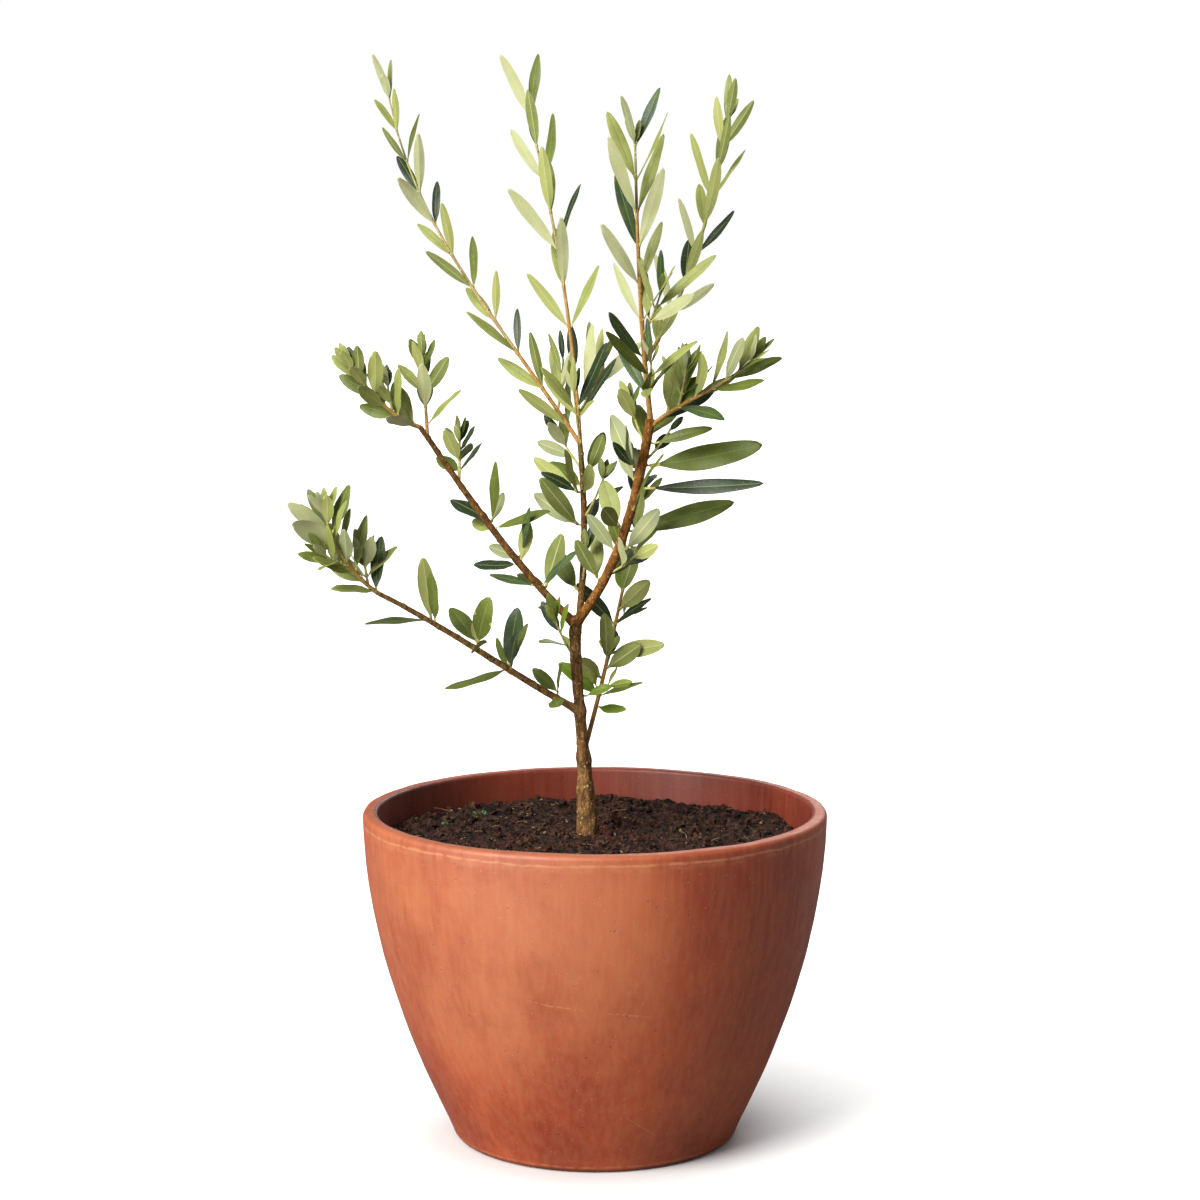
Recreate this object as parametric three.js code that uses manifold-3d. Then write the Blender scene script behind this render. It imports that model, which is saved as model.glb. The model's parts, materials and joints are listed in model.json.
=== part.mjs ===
// Potted young olive tree: a terracotta pot, its soil, a trunk, four boughs and the leafy shoots on them.
// Millimetres, +Z up, seen from the front along +Y. The origin is the centre of the pot's flat underside.
import * as THREE from 'three';
import { mergeVertices } from 'three/addons/utils/BufferGeometryUtils.js';
import Module from 'manifold-3d';

const wasm = await Module();
wasm.setup();

// Driving sizes of the pot and the soil
const GAP = 0.3;
const WELD = 1e-3;
const POT = {
  height: 228, rimRadius: 160, footRadius: 96, swell: 1.85, footEdge: 7,
  wall: 10.5, floor: 14, lipOuter: 3.5, lipInner: 2.5, rings: 7, facets: 40,
};
const SOIL = { seatRadius: 22, seatLevel: 209.1, edgeLevel: 205, rise: 0.62 };

// A limb's centre line leaves its parent limb at a share of the parent's length. Azimuth is the compass
// direction from +X towards +Y, lean is the angle from upright at its foot and tip, bow is extra lean
// half way along, and turn is the change of azimuth from foot to tip. Angles are in degrees.
const STEPS = 12;
const TRUNK = {
  name: 'trunk', start: [-5.5, 0, SOIL.seatLevel + GAP], azimuth: 180, lean: [0, 0], bow: 4.8, turn: 0,
  length: 151, radius: [3.7, 3.7], flare: 2.6, flareReach: 45, sides: 12,
};
const BOUGHS = [
  { name: 'bough_low_left', parent: 'trunk', at: 0.57, azimuth: 212, lean: [61, 63], bow: -4, turn: 0,
    length: 180, radius: [2.6, 1.5], sides: 8 },
  { name: 'bough_mid_left', parent: 'trunk', at: 0.97, azimuth: 163, lean: [48, 36], bow: -3, turn: 0,
    length: 174, radius: [2.8, 1.8], sides: 8 },
  { name: 'bough_leader', parent: 'trunk', at: 0.97, azimuth: 335, lean: [41, 10], bow: -6, turn: 0,
    length: 154, radius: [3.2, 3.2], sides: 8 },
  { name: 'bough_back', parent: 'trunk', at: 0.87, azimuth: 50, lean: [13, 10], bow: 0, turn: 70,
    length: 140, radius: [2.5, 1.8], sides: 8 },
];

// A shoot is one mass of foliage. Leaf is the leaf length near its foot and its tip, wide the leaf's width
// as a share of its length, open the angle between leaf and stem, first the place of the first pair of
// leaves, crowd the ratio of each gap between pairs to the one below it, and twigs the place and roll of
// each side twig. Each pair is turned a quarter round the stem from the pair below.
const SHOOTS = [
  { name: 'foliage_low_left_tip', parent: 'bough_low_left', at: 1, azimuth: 196, lean: [54, 12], bow: 0,
    turn: 0, length: 64, radius: [1.4, 0.7], leaf: [38, 34], wide: 0.36, open: [56, 36], pairs: 9,
    first: 0.05, crowd: 0.93, roll: 255, twigs: [[0.12, 250], [0.4, 80]], seed: 2, colour: '#98a160' },
  { name: 'foliage_mid_left_outer', parent: 'bough_mid_left', at: 1, azimuth: 195, lean: [72, 36], bow: -8,
    turn: 0, length: 64, radius: [1.6, 0.7], leaf: [34, 27], wide: 0.38, open: [52, 30], pairs: 7,
    first: 0.1, crowd: 0.88, roll: 30, twigs: [[0.35, 260]], seed: 3, colour: '#8f9a58' },
  { name: 'foliage_mid_left_upper', parent: 'bough_mid_left', at: 0.95, azimuth: 110, lean: [12, 10], bow: 0,
    turn: 0, length: 58, radius: [1.3, 0.7], leaf: [36, 28], wide: 0.34, open: [58, 30], pairs: 6,
    first: 0.18, crowd: 0.9, roll: 30, twigs: [], seed: 4, colour: '#93a04f' },
  { name: 'foliage_mid_left_spur', parent: 'bough_mid_left', at: 0.73, azimuth: 90, lean: [40, 10], bow: 0,
    turn: 0, length: 32, radius: [1.2, 0.7], leaf: [28, 26], wide: 0.4, open: [60, 36], pairs: 4,
    first: 0.35, crowd: 0.9, roll: 30, twigs: [], seed: 14, colour: '#7e8a50' },
  { name: 'foliage_long_left', parent: 'bough_back', at: 1, azimuth: 150, lean: [38, 12], bow: 11,
    turn: 10, length: 284, radius: [1.7, 0.6], leaf: [36, 38], wide: 0.28, open: [44, 26], pairs: 11,
    first: 0.06, crowd: 0.96, roll: 30, twigs: [[0.1, 250]], seed: 5, colour: '#8d9a63' },
  { name: 'foliage_back_left', parent: 'bough_back', at: 0.93, azimuth: 112, lean: [8, 25], bow: 3,
    turn: 10, length: 250, radius: [1.6, 0.7], leaf: [36, 54], wide: 0.26, open: [48, 20], pairs: 9,
    first: 0.12, crowd: 0.96, roll: 30, twigs: [[0.05, 300], [0.12, 160]], seed: 6, colour: '#9aa568' },
  { name: 'foliage_centre', parent: 'bough_leader', at: 1, azimuth: 250, lean: [20, 4], bow: -3,
    turn: 0, length: 184, radius: [2.1, 0.8], leaf: [46, 60], wide: 0.29, open: [54, 30], pairs: 8, first: 0.1,
    crowd: 0.97, roll: 30, twigs: [[0.08, 60], [0.2, 320], [0.32, 30]], seed: 7, colour: '#8e9b5d' },
  { name: 'foliage_right', parent: 'bough_leader', at: 0.96, azimuth: 338, lean: [48, 46], bow: 16,
    turn: 0, length: 86, radius: [1.7, 0.7], leaf: [40, 34], wide: 0.33, open: [54, 30], pairs: 7,
    first: 0.14, crowd: 0.92, roll: 30, twigs: [[0.3, 250]], seed: 8, colour: '#6f8748' },
  { name: 'foliage_tall_right', parent: 'foliage_centre', at: 0.22, azimuth: 40, lean: [41, 12], bow: -3,
    turn: 0, length: 178, radius: [1.5, 0.7], leaf: [36, 44], wide: 0.27, open: [46, 24], pairs: 9,
    first: 0.1, crowd: 0.95, roll: 30, twigs: [], seed: 9, colour: '#93a05c' },
  { name: 'foliage_low_right', parent: 'trunk', at: 0.37, azimuth: 58, lean: [29, 22], bow: -2,
    turn: 0, length: 186, radius: [1.8, 0.8], leaf: [40, 40], wide: 0.32, open: [66, 36], pairs: 7,
    first: 0.24, crowd: 0.95, roll: 150, twigs: [], seed: 1, colour: '#7d8e3c' },
];

// A spur is a small fan of leaves straight from a bough or the trunk. Roll is its side of the limb, fan the
// spread of its leaves round the limb, and twist turns each leaf on its own midrib.
const SPURS = {
  bough_leader: [
    { at: 0.8, roll: 62, fan: 30, open: 78, leaf: 76, count: 1, twist: 60, wide: 0.23 },
    { at: 0.7, roll: 75, fan: 30, open: 92, leaf: 82, count: 1, twist: 60, wide: 0.13 },
    { at: 0.5, roll: 60, fan: 30, open: 68, leaf: 74, count: 1, twist: 60, wide: 0.25 },
    { at: 0.9, roll: 80, fan: 30, open: 84, leaf: 44, count: 1, twist: 60, wide: 0.25 },
    { at: 0.6, roll: 140, fan: 60, open: 42, leaf: 62, count: 1, twist: 10, wide: 0.32 },
    { at: 0.42, roll: 90, fan: 60, open: 34, leaf: 38, count: 2, twist: 50, wide: 0.32 },
    { at: 0.24, roll: 270, fan: 90, open: 62, leaf: 38, count: 2, twist: 50, wide: 0.34 },
    { at: 0.5, roll: 240, fan: 110, open: 70, leaf: 38, count: 2, twist: 50, wide: 0.36 },
    { at: 0.78, roll: 240, fan: 120, open: 60, leaf: 40, count: 3, twist: 50, wide: 0.34 },
    { at: 0.93, roll: 110, fan: 120, open: 66, leaf: 58, count: 2, twist: 50, wide: 0.28 },
  ],
  bough_low_left: [
    { at: 0.12, roll: 250, fan: 110, open: 60, leaf: 24, count: 2, twist: 30, wide: 0.34 },
    { at: 0.35, roll: 200, fan: 170, open: 66, leaf: 46, count: 3, twist: 50, wide: 0.3 },
    { at: 0.53, roll: 260, fan: 110, open: 60, leaf: 36, count: 3, twist: 60, wide: 0.4 },
    { at: 0.74, roll: 200, fan: 170, open: 50, leaf: 48, count: 2, twist: 50, wide: 0.25 },
  ],
  bough_mid_left: [
    { at: 0.09, roll: 120, fan: 60, open: 60, leaf: 24, count: 1, twist: 50, wide: 0.3 },
    { at: 0.19, roll: 200, fan: 160, open: 66, leaf: 36, count: 2, twist: 50, wide: 0.3 },
    { at: 0.35, roll: 200, fan: 170, open: 62, leaf: 38, count: 3, twist: 50, wide: 0.26 },
    { at: 0.53, roll: 200, fan: 170, open: 62, leaf: 50, count: 3, twist: 50, wide: 0.28 },
  ],
  bough_back: [
    { at: 0.28, roll: 20, fan: 60, open: 62, leaf: 44, count: 2, twist: 40, wide: 0.26 },
    { at: 0.45, roll: 200, fan: 120, open: 54, leaf: 34, count: 2, twist: 50, wide: 0.3 },
    { at: 0.6, roll: 0, fan: 90, open: 66, leaf: 44, count: 3, twist: 50, wide: 0.3 },
    { at: 0.76, roll: 350, fan: 120, open: 72, leaf: 50, count: 3, twist: 40, wide: 0.28 },
    { at: 0.86, roll: 200, fan: 120, open: 54, leaf: 36, count: 2, twist: 50, wide: 0.32 },
  ],
  trunk: [
    { at: 0.8, roll: 200, fan: 120, open: 60, leaf: 24, count: 2, twist: 50, wide: 0.3 },
    { at: 0.64, roll: 280, fan: 90, open: 80, leaf: 20, count: 1, twist: 50, wide: 0.4 },
  ],
};
const SPUR = {
  seed: 100, colour: '#7f8c50', stalk: 3, sink: 0.15, middleLeaf: 0.55,
  vary: { open: 8, roll: 12, twist: 15, length: [0.85, 1.1] },
};

// Rules of growth: how leaves and twigs stand on a stem, how much they vary, and how far apart masses keep.
const GROWTH = {
  lift: 0.3, taperFrom: 0.6, taper: 0.3,
  vary: { open: 9, roll: 16, twist: 45, length: [0.8, 1.12] },
  clearance: 1, reach: 95, ballSpacing: 4, nearStem: 2,
};
const TWIG = {
  open: 42, rise: 0.6, length: 36, share: 0.3, shortShoot: 100, radius: [1, 0.6], sides: 3,
  pairs: 3, first: 0.4, leaf: [0.8, 0.7],
};
const LEAF = {
  rootWidth: 0.16, stalk: 0.1, forward: 0.9, fullness: 0.62, thickness: 0.015, sides: 3,
  stations: [0, 0.08, 0.42, 0.78, 1], steps: 8, bendFrom: 0.3, sink: 2, varyWide: [0.85, 1.12], curl: [-25, 18],
};
const RING_LENGTH = 14;
const RANDOM = {
  modulus: 4294967296, multiplier: 1664525, step: 1013904223, seedFactor: 2654435761, seedStep: 12345,
};

const radians = THREE.MathUtils.degToRad;
const mix = THREE.MathUtils.lerp;

/** Repeatable random numbers from a seed. */
class Draw {
  constructor(seed) {
    this.state = (seed * RANDOM.seedFactor + RANDOM.seedStep) % RANDOM.modulus;
    this.next();
  }

  next() {
    this.state = (this.state * RANDOM.multiplier + RANDOM.step) % RANDOM.modulus;
    return this.state / RANDOM.modulus;
  }

  between(low, high) {
    return mix(low, high, this.next());
  }

  swing(spread) {
    return this.between(-spread, spread);
  }
}

/** A limb's centre line, with a frame and a radius at every place from 0 at its foot to 1 at its tip. */
class Limb {
  constructor(row, start) {
    Object.assign(this, { bow: 0, turn: 0, flare: 0, flareReach: 1 }, row);
    this.points = [start.clone()];
    for (let i = 0; i < STEPS; i += 1) {
      const step = this.heading((i + 0.5) / STEPS).multiplyScalar(this.length / STEPS);
      this.points.push(this.points[i].clone().add(step));
    }
  }

  heading(t) {
    const lean = radians(mix(...this.lean, t) + this.bow * Math.sin(Math.PI * t));
    const azimuth = radians(this.azimuth + this.turn * t);
    return new THREE.Vector3(
      Math.sin(lean) * Math.cos(azimuth), Math.sin(lean) * Math.sin(azimuth), Math.cos(lean));
  }

  /** The direction square to the limb at a roll round it: 0 is level, 90 is its outer, lower side. */
  side(t, roll) {
    const azimuth = radians(this.azimuth + this.turn * t);
    const level = new THREE.Vector3(-Math.sin(azimuth), Math.cos(azimuth), 0);
    const below = level.clone().cross(this.heading(t));
    return level.multiplyScalar(Math.cos(radians(roll))).addScaledVector(below, Math.sin(radians(roll)));
  }

  pointAt(t) {
    const place = THREE.MathUtils.clamp(t, 0, 1) * STEPS;
    const i = Math.min(Math.floor(place), STEPS - 1);
    return this.points[i].clone().lerp(this.points[i + 1], place - i);
  }

  radiusAt(t) {
    const fromFoot = (t * this.length) / this.flareReach;
    return mix(...this.radius, t) + this.flare * Math.exp(-fromFoot * fromFoot);
  }
}

/** Width of a leaf at a place along it, as a share of its greatest width: a stalk, then a lance shape. */
function blade(t) {
  if (t >= 1) return 0;
  const along = Math.max(t - LEAF.stalk, 0) / (1 - LEAF.stalk);
  return Math.max(LEAF.rootWidth, Math.sin(Math.PI * along ** LEAF.forward) ** LEAF.fullness);
}

/** One leaf: its midrib, the half width at each station, and the directions across and through it. */
class Leaf {
  constructor(root, stem, side, { open, length, wide, twist, curl }) {
    const along = stem.clone().multiplyScalar(Math.cos(radians(open)))
      .addScaledVector(side, Math.sin(radians(open)));
    along.z += GROWTH.lift;
    along.normalize();
    const across = stem.clone().cross(side);
    across.addScaledVector(along, -across.dot(along)).normalize();
    across.applyAxisAngle(along, radians(-twist));
    this.length = length;
    this.width = length * wide;
    this.across = across;
    this.face = along.clone().cross(across).negate();
    this.midrib = [root.clone()];
    for (let i = 0; i < LEAF.steps; i += 1) {
      const bend = radians(curl) * (i / LEAF.steps - LEAF.bendFrom);
      const step = along.clone().multiplyScalar(Math.cos(bend)).addScaledVector(this.face, -Math.sin(bend));
      this.midrib.push(this.midrib[i].clone().addScaledVector(step, length / LEAF.steps));
    }
  }

  pointAt(t) {
    const place = THREE.MathUtils.clamp(t, 0, 1) * LEAF.steps;
    const i = Math.min(Math.floor(place), LEAF.steps - 1);
    return this.midrib[i].clone().lerp(this.midrib[i + 1], place - i);
  }

  halfWidth(t) {
    return 0.5 * this.width * blade(t);
  }
}

/** A closed geometry becomes a solid that can be joined and cut. */
function toSolid(geometry) {
  geometry.deleteAttribute('normal');
  geometry.deleteAttribute('uv');
  const merged = mergeVertices(geometry, WELD);
  return new wasm.Manifold(new wasm.Mesh({
    numProp: 3,
    vertProperties: new Float32Array(merged.attributes.position.array),
    triVerts: new Uint32Array(merged.index.array),
  }));
}

/** The greatest connected piece of a solid, so that a cut-off scrap or a sealed hollow is left out. */
function greatest(solid) {
  return solid.decompose().reduce((best, piece) => (piece.volume() > best.volume() ? piece : best));
}

function toGeometry(solid) {
  const { vertProperties, triVerts } = solid.getMesh();
  const geometry = new THREE.BufferGeometry();
  geometry.setAttribute('position', new THREE.BufferAttribute(vertProperties, 3));
  geometry.setIndex(new THREE.BufferAttribute(triVerts, 1));
  return geometry;
}

/** A joined and cut solid as a mesh. It is welded twice, because the first weld can pinch off a sliver. */
function toMesh(name, solid, finish) {
  const geometry = toGeometry(greatest(toSolid(toGeometry(greatest(solid)))));
  geometry.computeVertexNormals();
  return namedMesh(name, geometry, finish);
}

function namedMesh(name, geometry, finish) {
  const mesh = new THREE.Mesh(geometry, new THREE.MeshStandardMaterial({ metalness: 0, ...finish }));
  mesh.name = name;
  return mesh;
}

/** A limb's solid: a cylinder bent along the centre line. Extra is added all round and at the ends. */
function limbSolid(limb, sides, extra = 0) {
  const rings = THREE.MathUtils.clamp(Math.round(limb.length / RING_LENGTH), 1, STEPS);
  const geometry = new THREE.CylinderGeometry(1, 1, 1, sides, rings);
  const position = geometry.attributes.position;
  for (let i = 0; i < position.count; i += 1) {
    const t = position.getY(i) + 0.5;
    const radius = limb.radiusAt(t) + extra;
    const point = limb.pointAt(t)
      .addScaledVector(limb.heading(t), extra * Math.sign(2 * t - 1))
      .addScaledVector(limb.side(t, 0), position.getX(i) * radius)
      .addScaledVector(limb.side(t, 90), position.getZ(i) * radius);
    position.setXYZ(i, point.x, point.y, point.z);
  }
  return toSolid(geometry);
}

/** A leaf's solid: a three-sided sphere drawn out along the midrib, flat above and keeled below. */
function leafSolid(leaf) {
  const rings = LEAF.stations.length - 1;
  const geometry = new THREE.SphereGeometry(1, LEAF.sides, rings);
  const position = geometry.attributes.position;
  const edge = Math.sin((2 * Math.PI) / LEAF.sides);
  for (let i = 0; i < position.count; i += 1) {
    const fromTop = Math.acos(THREE.MathUtils.clamp(position.getY(i), -1, 1)) / Math.PI;
    const ring = Math.round(rings * (1 - fromTop));
    const atEnd = ring === 0 || ring === rings;
    const t = LEAF.stations[ring];
    const scale = atEnd ? 0 : 1 / Math.sin((Math.PI * ring) / rings);
    const point = leaf.pointAt(t)
      .addScaledVector(leaf.across, -position.getZ(i) * (scale / edge) * leaf.halfWidth(t))
      .addScaledVector(leaf.face, position.getX(i) * scale * leaf.length * LEAF.thickness);
    position.setXYZ(i, point.x, point.y, point.z);
  }
  return toSolid(geometry);
}

/** The crown: every limb's centre line, and each mass of foliage grown on them and kept apart. */
class Crown {
  constructor() {
    this.limbs = new Map();
    this.claimed = [];
    this.masses = [];
    for (const row of [TRUNK, ...BOUGHS, ...SHOOTS]) this.addLimb(row);
    for (const row of SHOOTS) this.growShoot(row);
    const spurs = Object.entries(SPURS).flatMap(([limb, rows]) => rows.map((row) => ({ limb, ...row })));
    spurs.forEach((row, i) => this.growSpur(row, i));
  }

  addLimb(row) {
    const start = row.parent ? this.limbs.get(row.parent).pointAt(row.at) : new THREE.Vector3(...row.start);
    const limb = new Limb(row, start);
    this.limbs.set(row.name, limb);
    this.claimLimb(row.name, limb);
  }

  /** Marks the space of a limb as taken, ball by ball. */
  claimLimb(owner, limb) {
    const balls = Math.ceil(limb.length / GROWTH.ballSpacing);
    for (let i = 0; i <= balls; i += 1) {
      this.claimed.push({ owner, centre: limb.pointAt(i / balls), radius: limb.radiusAt(i / balls) });
    }
  }

  /** True where none of the balls comes near what another owner has claimed. */
  isClear(owner, balls) {
    return this.claimed.every((taken) => taken.owner === owner || balls.every((ball) => (
      ball.centre.distanceTo(taken.centre) > ball.radius + taken.radius + GROWTH.clearance)));
  }

  /** Adds a leaf to a mass unless it would touch another mass or limb, or leave the mass's own space. */
  addLeaf(mass, leaf) {
    const balls = leaf.midrib
      .map((centre, i) => ({ centre, radius: leaf.halfWidth(i / LEAF.steps) }))
      .slice(GROWTH.nearStem);
    const tip = balls.at(-1).centre;
    const inReach = mass.stems[0].points.some((point) => point.distanceTo(tip) < GROWTH.reach);
    if (!inReach || !this.isClear(mass.name, balls)) return;
    mass.leaves.push(leaf);
    balls.forEach((ball) => this.claimed.push({ owner: mass.name, ...ball }));
  }

  growShoot(row) {
    const draw = new Draw(row.seed);
    const stem = this.limbs.get(row.name);
    const mass = { name: row.name, colour: row.colour, stems: [stem], leaves: [] };
    this.growPairs(mass, stem, row, draw);
    for (const [at, roll] of row.twigs) this.growTwig(mass, stem, row, at, roll, draw);
    this.masses.push(mass);
  }

  growPairs(mass, stem, row, draw) {
    let place = row.first;
    let gap = (1 - row.first) * (1 - row.crowd) / (1 - row.crowd ** (row.pairs - 1));
    for (let i = 0; i < row.pairs; i += 1) {
      const rise = i / (row.pairs - 1);
      const taper = 1 - GROWTH.taper * Math.max(rise - GROWTH.taperFrom, 0) / (1 - GROWTH.taperFrom);
      for (const half of [0, 180]) {
        const open = mix(...row.open, rise) + draw.swing(GROWTH.vary.open);
        const roll = row.roll + 90 * i + half + draw.swing(GROWTH.vary.roll);
        const length = mix(...row.leaf, rise) * taper * draw.between(...GROWTH.vary.length);
        const wide = row.wide * draw.between(...LEAF.varyWide);
        const twist = draw.swing(GROWTH.vary.twist);
        const curl = draw.between(...LEAF.curl);
        const shape = { open, length, wide, twist, curl };
        const root = stem.pointAt(place - LEAF.sink / stem.length);
        this.addLeaf(mass, new Leaf(root, stem.heading(place), stem.side(place, roll), shape));
      }
      place = Math.min(place + gap, 1);
      gap *= row.crowd;
    }
  }

  growTwig(mass, stem, row, at, turned, draw) {
    const open = radians(TWIG.open);
    const side = stem.side(at, turned);
    const heading = stem.heading(at).multiplyScalar(Math.cos(open)).addScaledVector(side, Math.sin(open));
    const lean = THREE.MathUtils.radToDeg(Math.acos(heading.z));
    const length = stem.length < TWIG.shortShoot ? stem.length * TWIG.share : TWIG.length;
    const azimuth = THREE.MathUtils.radToDeg(Math.atan2(heading.y, heading.x));
    const shape = { azimuth, lean: [lean, lean * TWIG.rise], length, radius: TWIG.radius };
    const twig = new Limb(shape, stem.pointAt(at));
    const roll = draw.between(0, 90);
    const balls = twig.points.slice(GROWTH.nearStem).map((centre) => ({ centre, radius: TWIG.radius[0] }));
    if (!this.isClear(mass.name, balls)) return;
    mass.stems.push(twig);
    this.claimLimb(mass.name, twig);
    const leaf = TWIG.leaf.map((share) => row.leaf[1] * share);
    this.growPairs(mass, twig, { ...row, leaf, roll, pairs: TWIG.pairs, first: TWIG.first }, draw);
  }

  growSpur(row, index) {
    const draw = new Draw(SPUR.seed + index);
    const limb = this.limbs.get(row.limb);
    const heading = limb.heading(row.at);
    const out = limb.side(row.at, row.roll);
    const foot = limb.pointAt(row.at);
    const lean = THREE.MathUtils.radToDeg(Math.acos(out.z));
    const azimuth = THREE.MathUtils.radToDeg(Math.atan2(out.y, out.x));
    const length = limb.radiusAt(row.at) + SPUR.stalk;
    const stalk = new Limb({ azimuth, lean: [lean, lean], length, radius: TWIG.radius }, foot);
    const name = `leaves_${row.limb.replace('bough_', '')}_${index + 1}`;
    const mass = { name, colour: SPUR.colour, stems: [stalk], leaves: [] };
    for (let i = 0; i < row.count; i += 1) {
      const step = i - (row.count - 1) / 2;
      const share = step === 0 && row.count > 1 ? SPUR.middleLeaf : 1;
      const length = row.leaf * share * draw.between(...SPUR.vary.length);
      const roll = row.roll + row.fan * (step / Math.max(row.count - 1, 1)) + draw.swing(SPUR.vary.roll);
      const open = row.open + draw.swing(SPUR.vary.open);
      const wide = row.wide * draw.between(...LEAF.varyWide);
      const twist = row.twist * (i % 2 ? 1 : -1) + draw.swing(SPUR.vary.twist);
      const curl = draw.between(...LEAF.curl);
      const shape = { open, length, wide, twist, curl };
      this.addLeaf(mass, new Leaf(stalk.pointAt(1 - SPUR.sink), heading, limb.side(row.at, roll), shape));
    }
    if (mass.leaves.length > 0) this.masses.push(mass);
  }
}

/** Radius of the pot's outside at a height. */
function potRadius(z) {
  return POT.rimRadius - (POT.rimRadius - POT.footRadius) * (1 - z / POT.height) ** POT.swell;
}

/** Points of a quarter round from one angle to another, in degrees. */
function roundOff(centreRadius, centreHeight, radius, from, to, steps = 3) {
  return levels(radians(from), radians(to), steps).map((angle) => (
    new THREE.Vector2(centreRadius + radius * Math.cos(angle), centreHeight + radius * Math.sin(angle))));
}

/** Values spread evenly between two ends, both included. */
function levels(low, high, count) {
  return Array.from({ length: count + 1 }, (_, i) => mix(low, high, i / count));
}

/** Points up the inside of the pot's wall to the edge of the soil, as far in from the wall as inset. */
function insideWall(inset) {
  return levels(POT.floor, SOIL.edgeLevel, POT.rings)
    .map((z) => new THREE.Vector2(potRadius(z) - POT.wall - inset, z));
}

function makePot() {
  const { height, rimRadius, footEdge, wall, floor, lipOuter, lipInner } = POT;
  const innerRim = rimRadius - wall;
  const footRadius = potRadius(footEdge) - footEdge;
  const outside = levels(footEdge, height - lipOuter, POT.rings)
    .map((z) => new THREE.Vector2(potRadius(z), z));
  const inside = insideWall(0).reverse();
  const profile = [
    new THREE.Vector2(0, 0),
    ...roundOff(footRadius, footEdge, footEdge, -90, -20),
    ...outside.slice(1, -1),
    ...roundOff(potRadius(height - lipOuter) - lipOuter, height - lipOuter, lipOuter, 0, 90),
    ...roundOff(innerRim + lipInner, height - lipInner, lipInner, 90, 180),
    ...inside,
    new THREE.Vector2(0, floor),
  ];
  return new THREE.LatheGeometry(profile, POT.facets);
}

/** The soil fills the pot nearly to its rim, and rises to the seat of the trunk. */
function makeSoil() {
  const side = insideWall(GAP);
  side[0].y += GAP;
  const edge = side.at(-1);
  const profile = [
    new THREE.Vector2(0, side[0].y),
    ...side,
    new THREE.Vector2(mix(SOIL.seatRadius, edge.x, 0.5), mix(edge.y, SOIL.seatLevel, SOIL.rise)),
    new THREE.Vector2(SOIL.seatRadius, SOIL.seatLevel),
    new THREE.Vector2(0, SOIL.seatLevel),
  ];
  return new THREE.LatheGeometry(profile, POT.facets);
}

/** A lathe's profile turns about Y, and the pot stands along Z. */
function standing(geometry) {
  return geometry.rotateX(Math.PI / 2);
}

const FINISHES = {
  pot: { color: '#b9603f', roughness: 0.82 },
  soil: { color: '#2a1c15', roughness: 0.97 },
  trunk: { color: '#7d6844', roughness: 0.85 },
  bough: { color: '#7c4f2c', roughness: 0.75 },
};
const LEAF_ROUGHNESS = 0.55;

/** Every node of the tree. Each later piece is cut back to clear the limbs that were made before it. */
function plant() {
  const crown = new Crown();
  const group = new THREE.Group();
  const made = [];
  const cutBack = (solid) => made.reduce((rest, limb) => rest.subtract(limb), solid);
  for (const row of [TRUNK, ...BOUGHS]) {
    const limb = crown.limbs.get(row.name);
    const finish = row === TRUNK ? FINISHES.trunk : FINISHES.bough;
    group.add(toMesh(row.name, cutBack(limbSolid(limb, row.sides)), finish));
    made.push(limbSolid(limb, row.sides, GAP));
  }
  for (const { name, colour, stems, leaves } of crown.masses) {
    const stemSolids = stems.map((stem) => limbSolid(stem, TWIG.sides));
    const whole = [...stemSolids, ...leaves.map(leafSolid)].reduce((joined, piece) => joined.add(piece));
    group.add(toMesh(name, cutBack(whole), { color: colour, roughness: LEAF_ROUGHNESS }));
    made.push(limbSolid(stems[0], TWIG.sides, GAP));
  }
  return group;
}

const tree = new THREE.Group();
tree.add(namedMesh('pot', standing(makePot()), FINISHES.pot));
tree.add(namedMesh('soil', standing(makeSoil()), FINISHES.soil));
tree.add(plant());

export default tree;
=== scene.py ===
"""A young olive tree in a terracotta pot: bark, leaves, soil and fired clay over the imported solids.

Metres, +Z up, seen from the front along +Y. The crown grows by the same seeded rule as the solids, so each
leaf stands where its solid is, turned a little to the light, with its true outline, fold, rib and stalk. Finer
sprigs and some more leaves follow.
"""
import json
import logging
import math
from dataclasses import dataclass, field, replace
from enum import Enum
from typing import ClassVar, Iterable, Sequence

import bmesh
import bpy
import numpy as np
from mathutils import Matrix, Vector, noise

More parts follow.
